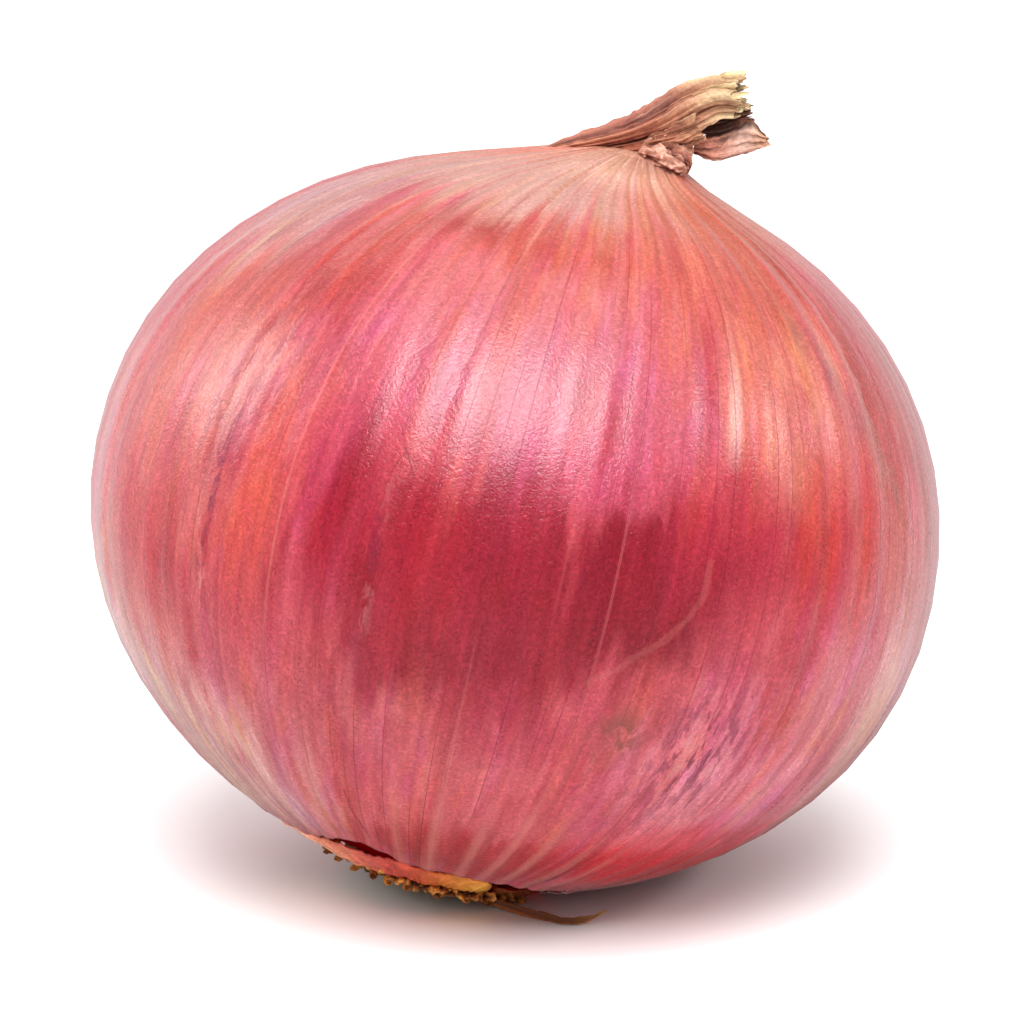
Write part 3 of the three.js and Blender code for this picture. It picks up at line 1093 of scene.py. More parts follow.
@dataclass
class OuterSkin:
    """The outermost papery skin, torn open round the root."""

    wardrobe: Wardrobe
    columns: int = 600
    outer_rings: int = 140
    inner_rings: int = 24
    thickness: float = 0.16
    rest_height: float = 0.01
    base: str = "d8505a"
    patches: tuple[Patch, ...] = (
        Patch(0, 40, 181, 26, "e8666e", 0.9, 0.6, 0.5),
        Patch(-50, 45, 24, 18, "f8aaa6", 0.9, 0.5, 0.5),
        Patch(-20, 62, 24, 10, "dc666e", 0.7, 0.5, 0.5),
        Patch(-44, 76, 20, 14, "d24250", 0.8, 0.5, 0.6),
        Patch(-64, 86, 8, 12, "d83a40", 0.7, 0.5, 0.6),
        Patch(-54, 96, 12, 12, "e06c6c", 0.85, 0.5, 0.6),
        Patch(-46, 106, 9, 9, "f0988c", 0.8, 0.5, 0.7),
        Patch(-37, 95, 6, 16, "e25850", 0.7, 0.5, 0.7),
        Patch(-58, 118, 14, 12, "d2584e", 0.8, 0.5, 0.6),
        Patch(-71, 58, 12, 20, "fcc2ba", 0.85, 0.5, 0.5),
        Patch(-60, 39, 22, 12, "ffc8c0", 0.9, 0.5, 0.5),
        Patch(-25, 118, 12, 12, "d8647a", 0.7, 0.5, 0.6),
        Patch(-26, 98, 6, 20, "d44660", 0.85, 0.5, 0.7),
        Patch(0, 132, 34, 10, "d86a6a", 0.8, 0.5, 0.5),
        Patch(8, 118, 22, 10, "d05c74", 0.8, 0.5, 0.6),
        Patch(-8, 112, 12, 8, "c0345a", 0.7, 0.5, 0.6),
        Patch(6, 106, 14, 7, "d24c70", 0.7, 0.5, 0.6),
        Patch(-3, 87, 24, 17, "a81230", 0.95, 0.35, 0.6),
        Patch(17, 92, 14, 12, "9a0c26", 0.95, 0.3, 0.5),
        Patch(-16, 86, 9, 14, "b81c34", 0.7, 0.5, 0.7),
        Patch(31, 97, 10, 11, "b8223c", 0.8, 0.5, 0.7),
        Patch(34, 111, 5, 8, "c43450", 0.6, 0.5, 0.7),
        Patch(2, 66, 11, 6, "c83850", 0.6, 0.5, 0.6),
        Patch(45, 102, 10, 12, "d43c40", 0.8, 0.5, 0.6),
        Patch(61, 98, 9, 12, "dc6c64", 0.8, 0.5, 0.6),
        Patch(38, 84, 12, 10, "d84a5a", 0.7, 0.5, 0.6),
        Patch(56, 74, 12, 18, "e87e86", 0.85, 0.5, 0.6),
        Patch(32, 64, 12, 13, "f47892", 0.85, 0.5, 0.7),
        Patch(68, 70, 8, 22, "ffbab6", 0.8, 0.5, 0.5),
        Patch(48, 57, 18, 10, "ff929e", 0.9, 0.5, 0.6),
        Patch(50, 47, 20, 6, "ff5c6c", 0.9, 0.45, 0.5),
        Patch(46, 39, 26, 7, "f0182c", 0.95, 0.45, 0.5),
        Patch(28, 106, 8, 8, "c02c40", 0.7, 0.5, 0.6),
        Patch(-65, 74, 8, 12, "dc3c40", 0.8, 0.5, 0.6),
        Patch(5, 35, 26, 7, "c8282e", 0.85, 0.5, 0.6),
        Patch(40, 128, 18, 18, "e07868", 0.9, 0.5, 0.6),
        Patch(30, 144, 26, 10, "db6650", 0.8, 0.5, 0.5),
        Patch(-44, 134, 14, 10, "c23022", 0.8, 0.5, 0.9),
        Patch(-22, 145, 26, 7, "c43a1c", 0.85, 0.4, 0.8),
        Patch(-27, 145, 8, 5, "ac2210", 0.8, 0.5, 0.8),
        Patch(-70, 142, 14, 16, "d6a298", 0.85, 0.5, 0.6),
        Patch(66, 126, 10, 22, "b8281c", 0.7, 0.5, 0.7),
        Patch(0, 181, 181, 30, "d87c64", 0.95, 0.25, 0.35),
        Patch(-4, 174, 50, 10, "eeb89e", 0.8, 0.4, 0.4),
        Patch(-42, 159, 44, 10, "d29282", 0.85, 0.3, 0.35),
        Patch(50, 158, 16, 9, "cc5434", 0.8, 0.5, 0.7),
        # A thin pale streak painted in as a highlight, where the right strip lamp shines.
        Patch(26, 121, 1.3, 8, "f0a8a0", 0.8, 0.4, 0.3, 0.05),
        Patch(50, 125, 2.2, 16, "b87468", 0.6, 0.5, 0.4, -0.6),
    )
    back_patches: int = 26
    back_colours: tuple[str, ...] = ("b42a3c", "cc3552", "e0606a", "e47866", "c8402e", "f08088", "a82238")
    ridges: tuple[Ridge, ...] = (Ridge(-45, 66, 112, 1.3, 0.14, 0.02), Ridge(-19, 64, 106, 1.2, 0.06))
    lobe_height: float = 0.30
    fold_height: float = 0.055
    pleat_height: float = 0.24
    crimp_height: float = 0.06
    rib_height: float = 0.20
    groove_depth: float = 0.05
    scar_height: float = 0.28
    scar: tuple[float, float] = (18, 69)

    def _meridian(self, longitude: Array, polar: Array, around: float, along: float) -> Array:
        """Coordinates for noise that runs along the skin without a seam."""
        return np.stack([np.cos(longitude) * around, np.sin(longitude) * around, polar * along], -1)

    def relief(self, longitude: Array, polar: Array) -> Array:
        """The skin's own relief above its smooth outline.

        Args:
            longitude: in radians.
            polar: in radians from the root.

        Returns:
            Millimetres proud at each place.
        """
        degrees, steep = np.degrees(longitude), np.degrees(polar)
        ring = np.sin(polar)
        vein = VEINS.distance(longitude, polar)
        lobes = self.lobe_height * rumple(self._meridian(longitude, polar, 1.6, 0.8), 1.0, 1) * ring
        folds = self.fold_height * rumple(self._meridian(longitude, polar, 8.0, 1.3), 1.0, 2) * ring
        neck = ease(steep, 135, 165) * (1 - ease(steep, 172, 179))
        pleats = self.pleat_height * neck * rumple(self._meridian(longitude, polar, 9.0, 0.8), 1.0, 3)
        crimps = self.crimp_height * neck * rumple(self._meridian(longitude, polar, 24.0, 1.6), 1.0, 4)
        foot = 1 - ease(steep, 26, 62)
        ribs = self.rib_height * foot * np.exp(-((vein / 1.0) ** 2)) * ease(steep, 8, 18)
        grooves = self.groove_depth * np.exp(-((vein / 0.5) ** 2)) * ring
        proud = lobes + folds + pleats + crimps + ribs - grooves
        rough = rumple(self._meridian(longitude, polar, 60.0, 22.0), 1.0, 5)
        for ridge in self.ridges:
            proud += ridge.share(degrees, steep) * ridge.proud * (0.6 + 0.7 * rough)
        scar = hill(degrees, self.scar[0], 3.0) * hill(steep, self.scar[1], 3.2)
        proud += self.scar_height * scar * rumple(self._meridian(longitude, polar, 34.0, 30.0), 1.0, 6)
        return proud

    def tint(self, longitude: Array, polar: Array) -> Array:
        """The skin's colour at each place, before the material adds its fine marks.

        Args:
            longitude: in radians.
            polar: in radians from the root.

        Returns:
            Red, green and blue for each place.
        """
        degrees, steep = np.degrees(longitude), np.degrees(polar)
        fray = rumple(self._meridian(longitude, polar, 14.0, 2.2), 1.0, 7)
        fray += 0.6 * rumple(self._meridian(longitude, polar, 40.0, 7.0), 1.0, 8)
        colour = np.broadcast_to(paint(self.base), (*longitude.shape, 3)).copy()
        for patch in (*self._hidden_patches(), *self.patches):
            share = patch.share(degrees, steep, fray)[..., None]
            colour = mixed(colour, np.array(paint(patch.colour)), share)
        return colour

    def _hidden_patches(self) -> list[Patch]:
        """Patches scattered over the sides and back, in the colours that the front shows.

        Returns:
            The patches.
        """
        draw = np.random.default_rng(23)
        found = []
        for _ in range(self.back_patches):
            longitude, polar = draw.uniform(78, 282), draw.uniform(42, 142)
            wide, tall = draw.uniform(5, 13), draw.uniform(12, 28)
            colour = self.back_colours[int(draw.integers(len(self.back_colours)))]
            found.append(Patch(longitude, polar, wide, tall, colour, 0.75, 0.5, 0.7))
        return found

    def marks(self, longitude: Array, polar: Array) -> Array:
        """How scuffed the skin is, how deep its veins show and how far its root ribs show.

        Args:
            longitude: in radians.
            polar: in radians from the root.

        Returns:
            The three shares for each place.
        """
        degrees, steep = np.degrees(longitude), np.degrees(polar)
        scuff = 0.8 * hill(degrees, 31, 8) * hill(steep, 68, 13)
        scuff = np.maximum(scuff, 0.3 * hill(degrees, -46, 12) * hill(steep, 112, 20))
        for ridge in self.ridges:
            scuff = np.maximum(scuff, 5.0 * ridge.proud * ridge.share(degrees, steep))
        veins = 0.5 + 0.5 * (0.5 + 0.5 * rumple(self._meridian(longitude, polar, 3.0, 1.4), 1.0, 9))
        veins *= 1.0 - 0.85 * ease(steep, 140, 156)
        front = 0.25 + 0.75 * ease(degrees, -20, -12) * (1 - ease(degrees, 28, 40))
        root = 0.6 * (1 - ease(steep, 34, 62)) * front
        return np.stack([scuff, veins, root], -1)

    def spots(self, longitude: Array, polar: Array) -> Array:
        """Where the scar lies, how strongly the skin is mottled, and where its gloss is softer.

        Args:
            longitude: in radians.
            polar: in radians from the root.

        Returns:
            The three shares for each place.
        """
        degrees, steep = np.degrees(longitude), np.degrees(polar)
        scar = hill(degrees, self.scar[0], 3.6) * hill(steep, self.scar[1], 4.0)
        scar = np.clip(1.3 * scar, 0.0, 1.0)
        calm = hill(degrees, 14, 10) * hill(steep, 94, 10)
        mottle = (1.0 - 0.55 * calm) * (1.0 - 0.6 * ease(steep, 146, 158))
        soft = ease(steep, 128, 150) * 0.5 + 0.4 * ease(-steep, -60, -34)
        return np.stack(np.broadcast_arrays(scar, mottle, soft), -1)

    def build(self) -> None:
        """Makes the skin with its torn edge, and dresses it."""
        longitude = np.linspace(-math.pi, math.pi, self.columns, endpoint=False)
        fray = 0.16 * rumple(self._meridian(longitude, longitude * 0, 60.0, 0.0), 1.0, 10)
        edge = BULB.polar_at(BULB.edge_radius(longitude) + fray)
        pole = math.pi * 0.9985
        rise = np.linspace(0.0, 1.0, self.outer_rings)
        rise = rise - 0.09 * np.sin(2 * math.pi * rise)
        outer = edge + (pole - edge) * rise[:, None]
        inner = edge + (math.pi * 0.97 - edge) * np.linspace(1.0, 0.0, self.inner_rings)[:, None]
        lon_outer = np.broadcast_to(longitude, outer.shape)
        lon_inner = np.broadcast_to(longitude, inner.shape)
        proud = self.relief(lon_outer, outer)
        near_edge = ease(np.degrees(outer - edge), 0.0, 3.0)
        lift = 0.12 * (1 - near_edge) * (1 + rumple(self._meridian(lon_outer, outer, 20.0, 1.0), 1.0, 12))
        face = BULB.place(lon_outer, outer, proud + lift)
        back = BULB.place(lon_inner, inner, proud[0] + lift[0] - self.thickness)
        points = np.concatenate([back, face])
        points[..., 2] = np.maximum(points[..., 2], self.rest_height)
        polar = np.concatenate([inner, outer])
        turns = np.linspace(0.0, 1.0, self.columns + 1)
        every = np.concatenate([polar, polar[:, :1]], 1) / math.pi
        lay = np.stack([np.broadcast_to(turns, every.shape), every], -1)
        phase = VEINS.phase(turns * 360.0 - 180.0)
        veins = np.stack([np.broadcast_to(phase, every.shape), every], -1)
        longitudes = np.concatenate([lon_inner, lon_outer])
        piece = RingedBody(
            "papery_skin",
            points,
            (BULB.place(0.0, math.pi, -3.0), BULB.place(0.0, math.pi, 0.0)),
            {"OFBake": bake_map(points), "Lay": lay, "Veins": veins},
            {
                "Tint": self.tint(longitudes, polar),
                "Marks": self.marks(longitudes, polar),
                "Spots": self.spots(longitudes, polar),
            },
        ).build()
        self.wardrobe.dress(piece, Finish.SKIN, "outer_skin")


@dataclass
class InnerScale:
    """The fleshy body of the bulb, which shows only where the tear bares it."""

    wardrobe: Wardrobe
    columns: int = 300
    rings: int = 90
    rest_height: float = 0.6

    def build(self) -> None:
        """Makes the scale, close under the skin and sinking towards the root collar."""
        longitude = np.linspace(-math.pi, math.pi, self.columns, endpoint=False)
        polar = math.pi * (0.01 + 0.98 * np.linspace(0.0, 1.0, self.rings) ** 1.25)
        polar, longitude = np.meshgrid(polar, longitude, indexing="ij")
        edge = BULB.polar_at(BULB.edge_radius(longitude))
        beyond = np.degrees(edge - polar)
        proud = -0.5 + 0.2 * ease(beyond, -1.5, 0.0) - 0.45 * ease(beyond, 1.0, 6.0)
        points = BULB.place(longitude, polar, proud)
        points[..., 2] = np.maximum(points[..., 2], self.rest_height)
        piece = RingedBody(
            "inner_scale",
            points,
            (BULB.place(0.0, 0.0, -1.3), BULB.place(0.0, math.pi, -0.6)),
            {"OFBake": bake_map(points), "Lay": turn_map(polar[:, 0] / math.pi, self.columns)},
            # Marks holds how far each place lies under the torn edge, for the flesh's painted shade in the
            # recess.
            {"Marks": np.stack([ease(beyond, 0.5, 4.0)] * 3, -1)},
        ).build()
        self.wardrobe.dress(piece, Finish.FLESH, "bulb")


# --- Root end -----------------------------------------------------------------------------------


@dataclass(frozen=True)
class SkinBand:
    """A band of skin left round the root: its longitudes, free edge and colours from end to end."""

    name: str
    node: str
    start: float
    end: float
    free_radius: float
    colours: tuple[str, ...]
    steps: int


@dataclass
class RootEnd:
    """Everything round the root: the plate, the torn band and sliver, the shred and rootlets."""

    wardrobe: Wardrobe
    start_radius: float = 10.4
    band_proud: float = 0.62
    band_thickness: float = 0.18
    plate_proud: float = 0.9
    stub_count: int = 16
    stub_radius: float = 0.34
    stub_span: tuple[float, float] = (-150.0, 38.0)
    stub_lengths: tuple[float, float] = (0.9, 1.5)
    floor_gap: float = 0.06
    crust_span: tuple[float, float] = (-112.0, 62.0)
    crust_radius: float = 9.9
    crust_wide: float = 1.05
    crust_proud: float = 1.15
    crust_shade_to_light_colours: tuple[str, ...] = ("240a04", "5a2a0e", "b06c2c", "e0a050")
    stub_colours: tuple[str, str] = ("c88440", "7a4218")
    plate_colours: tuple[str, str] = ("b08a58", "6e4a2c")
    shred_path: tuple[Place, ...] = (
        (-2.6, -13.2, 0.7),
        (1.0, -16.4, 0.5),
        (4.2, -18.5, 0.4),
        (6.6, -18.5, 0.45),
        (8.4, -17.5, 0.9),
    )
    shred_width: float = 2.1
    shred_thickness: float = 0.14
    shred_colours: tuple[str, ...] = ("a85a20", "9c501c", "8c4a1c", "a8682c", "e0a060")
    under_gain: float = 0.8
    collar: SkinBand = SkinBand(
        "root_collar_skin",
        "root_collar",
        -88.0,
        27.0,
        16.6,
        ("e8b090", "e8b090", "e8a080", "dc8064", "cc5448", "d05c34", "f09c3c", "ffb850"),
        300,
    )
    sliver: SkinBand = SkinBand(
        "root_sliver_skin", "root_sliver", 31.0, 54.0, 12.8, ("b4602c", "b05424", "7c2410"), 90
    )

    def _lifted(self, points: Array) -> Array:
        """The points, none of them lower than the gap above the floor."""
        points[..., 2] = np.maximum(points[..., 2], self.floor_gap)
        return points

    def band(self, band: SkinBand) -> None:
        """Makes one torn band: a thin sheet that hugs the bulb and frays at its free edge.

        Args:
            band: its sizes and colours.
        """
        rows, along_steps = band.steps, 26
        across = np.linspace(0.0, 1.0, rows)
        longitude = np.radians(mixed(band.start, band.end, across))
        taper = ease(across, 0.0, 0.12) * (1 - ease(across, 0.9, 1.0))
        line = np.stack([across * 60, across * 0, across * 0], -1)
        ragged = 0.35 * np.sin(31 * across) + 0.25 * np.sin(67 * across) + 0.5 * rumple(line, 1.2, 20)
        free = np.minimum(band.free_radius + ragged, BULB.edge_radius(longitude) - 0.3)
        free = mixed(self.start_radius + 1.0, free, taper)
        share = np.linspace(0.0, 1.0, along_steps)
        sheet = np.concatenate([share, share[::-1]])
        side = np.repeat([1.0, 0.0], along_steps)
        radius = mixed(self.start_radius - 0.2, free[:, None], sheet)
        spot = np.stack(np.broadcast_arrays(longitude[:, None] * 16, radius, 0.0), -1)
        wrinkles = 0.16 * rumple(spot, (1.1, 2.6, 1.0), 21) + 0.10 * rumple(spot, (0.4, 1.6, 1.0), 22)
        curl = 0.22 * ease(sheet, 0.75, 1.0) * (0.5 + rumple(spot, (2.5, 9.0, 1.0), 23))
        proud = mixed(self.band_proud, 0.0, sheet) + 1.4 * wrinkles + curl - (1 - side) * self.band_thickness
        place = BULB.place(longitude[:, None], BULB.polar_at(radius), proud)
        points = self._lifted(place)
        knots = [paint(code, self.under_gain) for code in band.colours]
        # Painted light and shade: the tint is lighter on the wrinkles' raised parts and darker in their
        # dips.
        tint = spline(knots, across)[:, None, :] * (0.92 + 0.25 * wrinkles / 0.16)[..., None]
        # Redder and a little darker towards the free edge.
        free_edge_share = ease(sheet, 0.7, 1.0)[None, :, None]
        tint = np.clip(mixed(tint, tint * np.array([0.95, 0.75, 0.7]), free_edge_share * 0.7), 0.0, 1.0)
        lay = turn_map(across * 5.0 * rows / 300, 2 * along_steps)
        piece = RingedBody(
            band.name,
            points,
            (points[0].mean(0), points[-1].mean(0)),
            {"OFBake": bake_map(points), "Lay": lay},
            {"Tint": tint},
        ).build()
        self.wardrobe.dress(piece, Finish.TORN_SKIN, band.node)

    def crust(self) -> None:
        """Makes the knobbly crust between the plate and the torn band, which the rootlets grow from."""
        rows, columns = 520, 28
        across = np.linspace(0.0, 1.0, rows)
        longitude = np.radians(mixed(*self.crust_span, across))[:, None]
        angle = np.linspace(0.0, 2 * math.pi, columns, endpoint=False)
        size = ease(across, 0.3, 0.62) * (1 - ease(across, 0.93, 1.0))
        size = (0.4 + 0.6 * size)[:, None]
        radius = self.crust_radius + self.crust_wide * size * np.cos(angle)
        proud = self.crust_proud * size * (0.5 + 0.5 * np.sin(angle)) ** 0.8
        smooth = BULB.place(longitude, BULB.polar_at(radius), proud)
        middle = smooth.mean(1, keepdims=True)
        lumps = rumple(smooth, 0.75, 50) + 0.6 * rumple(smooth, 0.34, 51)
        points = smooth + (smooth - middle) * (1.1 * lumps * size)[..., None]
        # Painted shade and light: the colour runs from near-black in the pits between the lumps to gold on
        # the knobs that the same lumps raise.
        knots = [paint(code, self.under_gain) for code in self.crust_shade_to_light_colours]
        tint = spline(knots, np.clip(0.5 + 0.9 * lumps, 0.0, 1.0))
        piece = RingedBody(
            "root_crust",
            self._lifted(points),
            (points[0].mean(0), points[-1].mean(0)),
            {"OFBake": bake_map(points), "Lay": turn_map(across * 8.0, columns)},
            {"Tint": tint},
        ).build()
        self.wardrobe.dress(piece, Finish.ROOT)

    def plate(self) -> None:
        """Makes the corky plate: a shallow knobbly lens under the bulb."""
        rings, columns = 26, 160
        share = np.linspace(0.0, 1.0, rings)
        turn, share = np.meshgrid(np.linspace(0, 2 * math.pi, columns, endpoint=False), share)
        radius = plate_rim(turn) * np.sin(share * math.pi * 0.98 + 0.02) ** 0.35
        proud = mixed(-0.35, self.plate_proud, ease(share, 0.35, 0.65))
        points = BULB.place(turn, BULB.polar_at(radius), proud)
        points = BULB.place(turn, BULB.polar_at(radius), proud + 0.35 * rumple(points, 0.9, 30))
        spots = rumple(points, 1.1, 31)[..., None]
        pale, dark = (np.array(paint(code)) for code in self.plate_colours)
        tint = mixed(pale, dark, ease(spots, -0.2, 0.5))
        piece = RingedBody(
            "corky_plate",
            self._lifted(points),
            (BULB.place(0.0, 0.0, -0.35), self._lifted(BULB.place(0.0, 0.0, self.plate_proud))),
            {"OFBake": bake_map(points), "Lay": turn_map(share[:, 0], columns)},
            {"Tint": tint},
        ).build()
        self.wardrobe.dress(piece, Finish.ROOT, "root_plate")

    def stub_path(self, longitude: float, length: float) -> list[Array]:
        """Three points that a rootlet passes: its root, its knee and its broken tip.

        Args:
            longitude: in radians.
            length: how long the rootlet is.

        Returns:
            The points.
        """
        reach = self.stub_radius
        gap = 0.3
        fuller = float(ease(math.degrees(longitude), -80, -20))
        knots = (
            (0.0, BULB.plate_radius + gap + reach, -0.2),
            (0.01, BULB.plate_radius + gap + 2.2 * reach, (0.45 + 0.25 * fuller) + 0.3 * length),
            (0.05, self.start_radius + 0.1 * length * fuller, (0.5 + 0.25 * fuller) + reach + 0.1 * length),
        )
        path = [BULB.place(longitude + turn, BULB.polar_at(radius), proud) for turn, radius, proud in knots]
        for point in path:
            point[2] = max(point[2], 0.1 + reach)
        return path

    def stubs(self) -> None:
        """Makes the withered rootlets, each a wrinkled peg with a broken hollow tip."""
        for i in range(self.stub_count):
            share = i / (self.stub_count - 1)
            degrees = mixed(*self.stub_span, share) + 3 * math.sin(5 * i)
            typical = mixed(*self.stub_lengths, ease(share, 0.5, 0.8))
            length = float(typical) * (1 + 0.2 * math.sin(7 * i))
            path = self.stub_path(math.radians(degrees), length)
            radius = self.stub_radius * mixed(0.9, 1.3, ease(degrees, -70, -20))
            self.peg(f"rootlet_{i + 1:02d}", path, radius, i, f"root_stub_{i + 1:02d}")

    def peg(self, name: str, path: list[Array], radius: float, seed: int, *nodes: str) -> None:
        """Makes one rootlet along a path, wrinkled, with a ragged hollow end.

        Args:
            name: the piece's name.
            path: its root, knee and tip.
            radius: its typical radius.
            seed: which wrinkles it gets.
            nodes: the CAD nodes that it replaces.
        """
        rows, columns = 22, 20
        t = np.concatenate([np.linspace(0.0, 1.0, rows), [1.0, 0.93, 0.86]])
        size = np.concatenate([np.linspace(1.12, 0.92, rows), [0.62, 0.45, 0.3]]) * radius
        a, b, c = path
        middle = ((1 - t) ** 2)[:, None] * a + (2 * t * (1 - t))[:, None] * b + (t**2)[:, None] * c
        run = np.gradient(middle[:rows], axis=0)
        run = np.concatenate([run, np.repeat(run[-1:], 3, 0)])
        run /= np.linalg.norm(run, axis=1)[:, None]
        side = np.cross(run, (0.0, 0.0, 1.0))
        side /= np.linalg.norm(side, axis=1)[:, None]
        rise = np.cross(side, run)
        angle = np.linspace(0, 2 * math.pi, columns, endpoint=False)
        swell = 1 + 0.12 * np.cos(3 * angle + seed)
        points = middle[:, None] + size[:, None, None] * (
            side[:, None] * (np.cos(angle) * swell)[:, None]
            + rise[:, None] * (np.sin(angle) * swell)[:, None]
        )
        ragged = 0.22 * rumple(points, 0.3, 40 + seed) * (t > 0.8)[:, None]
        points += run[:, None] * ragged[..., None]
        out = points - middle[:, None]
        points += out * (0.7 * rumple(points, 0.5, 60 + seed))[..., None]
        ends = np.array([paint(code, self.under_gain) for code in self.stub_colours])
        tint = mixed(ends[0], ends[1], 0.5 + 0.5 * math.sin(seed * 2.3))
        tint = np.broadcast_to(tint, points.shape) * (1 + 0.5 * rumple(points, 0.5, 80 + seed))[..., None]
        piece = RingedBody(
            name,
            self._lifted(points),
            (middle[0], middle[-1]),
            {"OFBake": bake_map(points), "Lay": turn_map(t, columns)},
            {"Tint": np.clip(tint, 0.0, 1.0)},
        ).build()
        self.wardrobe.dress(piece, Finish.ROOT, *nodes)

    def shred(self) -> None:
        """Makes the thin shred of skin that curls over the floor and ends ragged."""
        rows, along_steps = 90, 12
        across = np.linspace(0.0, 1.0, rows)
        share = np.linspace(0.0, 1.0, along_steps)
        sheet = np.concatenate([share, share[::-1]])
        side = np.repeat([1.0, 0.0], along_steps)
        middle = spline(self.shred_path, across) + np.array([BULB.centre[0], BULB.centre[1], 0.0])
        width = self.shred_width * (0.7 + 0.3 * np.sin(math.pi * across)) * (1 - 0.5 * across**4)
        spot = np.stack(np.broadcast_arrays(across[:, None] * 9, sheet * 1.5, 0.0), -1)
        spread = (sheet[None, :] - 0.5) * width[:, None] * (1 + 0.3 * rumple(spot, 0.7, 91))
        waves = 0.22 * rumple(spot, (1.0, 0.8, 1.0), 92) * np.sin(math.pi * across)[:, None]
        lift = side * self.shred_thickness + waves
        points = middle[:, None] + np.stack([0.2 * spread, -0.75 * spread, 0.6 * spread + lift + 0.1], -1)
        points[-8:, :, 0] += 0.5 * rumple(spot[-8:], 0.3, 93) * np.linspace(0, 1, 8)[:, None]
        knots = [paint(code, self.under_gain) for code in self.shred_colours]
        # Painted light and shade: the tint is much lighter along the shred's lower edge and darker from its
        # middle to its upper edge.
        tint = spline(knots, across)[:, None] * mixed(1.9, 0.6, ease(sheet, 0.1, 0.5))[None, :, None]
        points = self._lifted(points)
        piece = RingedBody(
            "curled_shred",
            points,
            (points[0].mean(0), points[-1].mean(0)),
            {"OFBake": bake_map(points), "Lay": turn_map(across * 0.6, 2 * along_steps)},
            {"Tint": np.clip(tint, 0.0, 1.0)},
        ).build()
        self.wardrobe.dress(piece, Finish.TORN_SKIN, "skin_shred")

    def build(self) -> None:
        """Makes every piece of the root end."""
        self.plate()
        self.crust()
        self.band(self.collar)
        self.band(self.sliver)
        self.stubs()
        self.shred()


def plate_rim(turn: Array) -> Array:
    """The radius of the plate's knobbly rim at each turn round it, where turn is in radians."""
    return BULB.plate_radius + 0.35 * np.sin(7 * turn) - 0.35


# --- Neck ---------------------------------------------------------------------------------------


class Mouth(Enum):
    """How a withered leaf tube ends."""

    CLOSED = "closed"
    OPEN = "open"


@dataclass(frozen=True)
class Leaf:
    """A withered leaf tube: its middle line, half height and half depth along it, and its pleats."""

    name: str
    node: str
    finish: Finish
    path: tuple[Place, ...]
    tall: tuple[float, ...]
    deep: tuple[float, ...]
    colours: tuple[str, ...]
    back_colour: str
    pleats: int
    pleat_depth: float
    twist: float
    mouth: Mouth = Mouth.CLOSED
    torn: float = 0.3
    crumple: float = 0.2
    hollow: float = 2.0
    rows: int = 110
    columns: int = 150


SHEATH = Leaf(
    name="wrapper_leaf",
    node="neck_sheath",
    finish=Finish.NECK_LEAF,
    path=(
        (2.6, 4.2, 68.7),
        (6.2, 4.0, 69.1),
        (9.2, 3.8, 69.7),
        (11.7, 3.6, 70.4),
        (14.1, 3.6, 71.4),
        (16.4, 3.6, 72.8),
        (18.6, 3.6, 73.8),
        (20.6, 3.6, 73.8),
    ),
    tall=(0.5, 1.0, 1.35, 1.7, 2.05, 2.15, 2.0, 1.8),
    deep=(0.9, 1.6, 2.1, 2.5, 2.7, 2.6, 2.4, 2.2),
    colours=("f09878", "e48c6c", "d47c5c", "c87054", "d08060", "e09c78", "ecbc90", "ecc898"),
    back_colour="94544a",
    pleats=5,
    pleat_depth=0.17,
    twist=1.9,
    mouth=Mouth.OPEN,
    torn=0.55,
    crumple=0.16,
    hollow=1.6,
)
INNER_LEAF = Leaf(
    name="pale_leaf_end",
    node="neck_inner_leaf",
    finish=Finish.NECK_END,
    path=((15.0, 3.6, 72.5), (18.7, 3.6, 74.0), (21.1, 3.6, 74.4)),
    tall=(1.1, 1.6, 1.75),
    deep=(1.4, 1.9, 2.1),
    colours=("c08a58", "e0b480", "f0d0a0"),
    back_colour="a87c50",
    pleats=8,
    pleat_depth=0.14,
    twist=0.8,
    mouth=Mouth.OPEN,
    torn=0.8,
    crumple=0.14,
    hollow=2.6,
)
SIDE_FOLD = Leaf(
    name="side_fold_leaf",
    node="neck_side_fold",
    finish=Finish.NECK_LEAF,
    path=((12.4, 1.5, 69.9), (15.0, 1.3, 70.5), (17.2, 1.4, 71.4)),
    tall=(0.8, 1.3, 1.2),
    deep=(0.7, 1.0, 1.1),
    colours=("cc8060", "c87c5c", "dca078"),
    back_colour="a86448",
    pleats=4,
    pleat_depth=0.18,
    twist=1.0,
    mouth=Mouth.OPEN,
    torn=0.2,
    crumple=0.2,
    hollow=1.2,
)
# A dark sheet in the cavity between the pale leaf end and the flap: painted shadow where there is only
# shade.
SHADOW_FILL_LEAF = Leaf(
    name="shaded_leaf",
    node="",
    finish=Finish.NECK_LEAF,
    path=((15.2, 3.9, 71.0), (18.0, 4.2, 71.5), (20.4, 4.4, 72.0), (21.8, 4.5, 72.2)),
    tall=(0.9, 1.3, 1.2, 0.9),
    deep=(0.6, 0.8, 0.8, 0.6),
    colours=("5c2a1c", "401a12", "54281c", "a8684c"),
    back_colour="4a2018",
    pleats=5,
    pleat_depth=0.2,
    twist=1.4,
    mouth=Mouth.OPEN,
    torn=0.5,
    crumple=0.25,
    hollow=1.4,
)
KNOT = Leaf(
    name="crumpled_knot",
    node="neck_knot",
    finish=Finish.NECK_LEAF,
    path=((11.5, 1.2, 69.1), (13.9, 1.1, 68.4), (16.4, 2.3, 67.3)),
    tall=(1.1, 2.25, 1.5),
    deep=(0.8, 1.9, 1.2),
    colours=("f4a88c", "f8b49c", "e08c70"),
    back_colour="c87c5c",
    pleats=5,
    pleat_depth=0.26,
    twist=3.0,
    mouth=Mouth.CLOSED,
    torn=0.0,
    crumple=0.75,
)


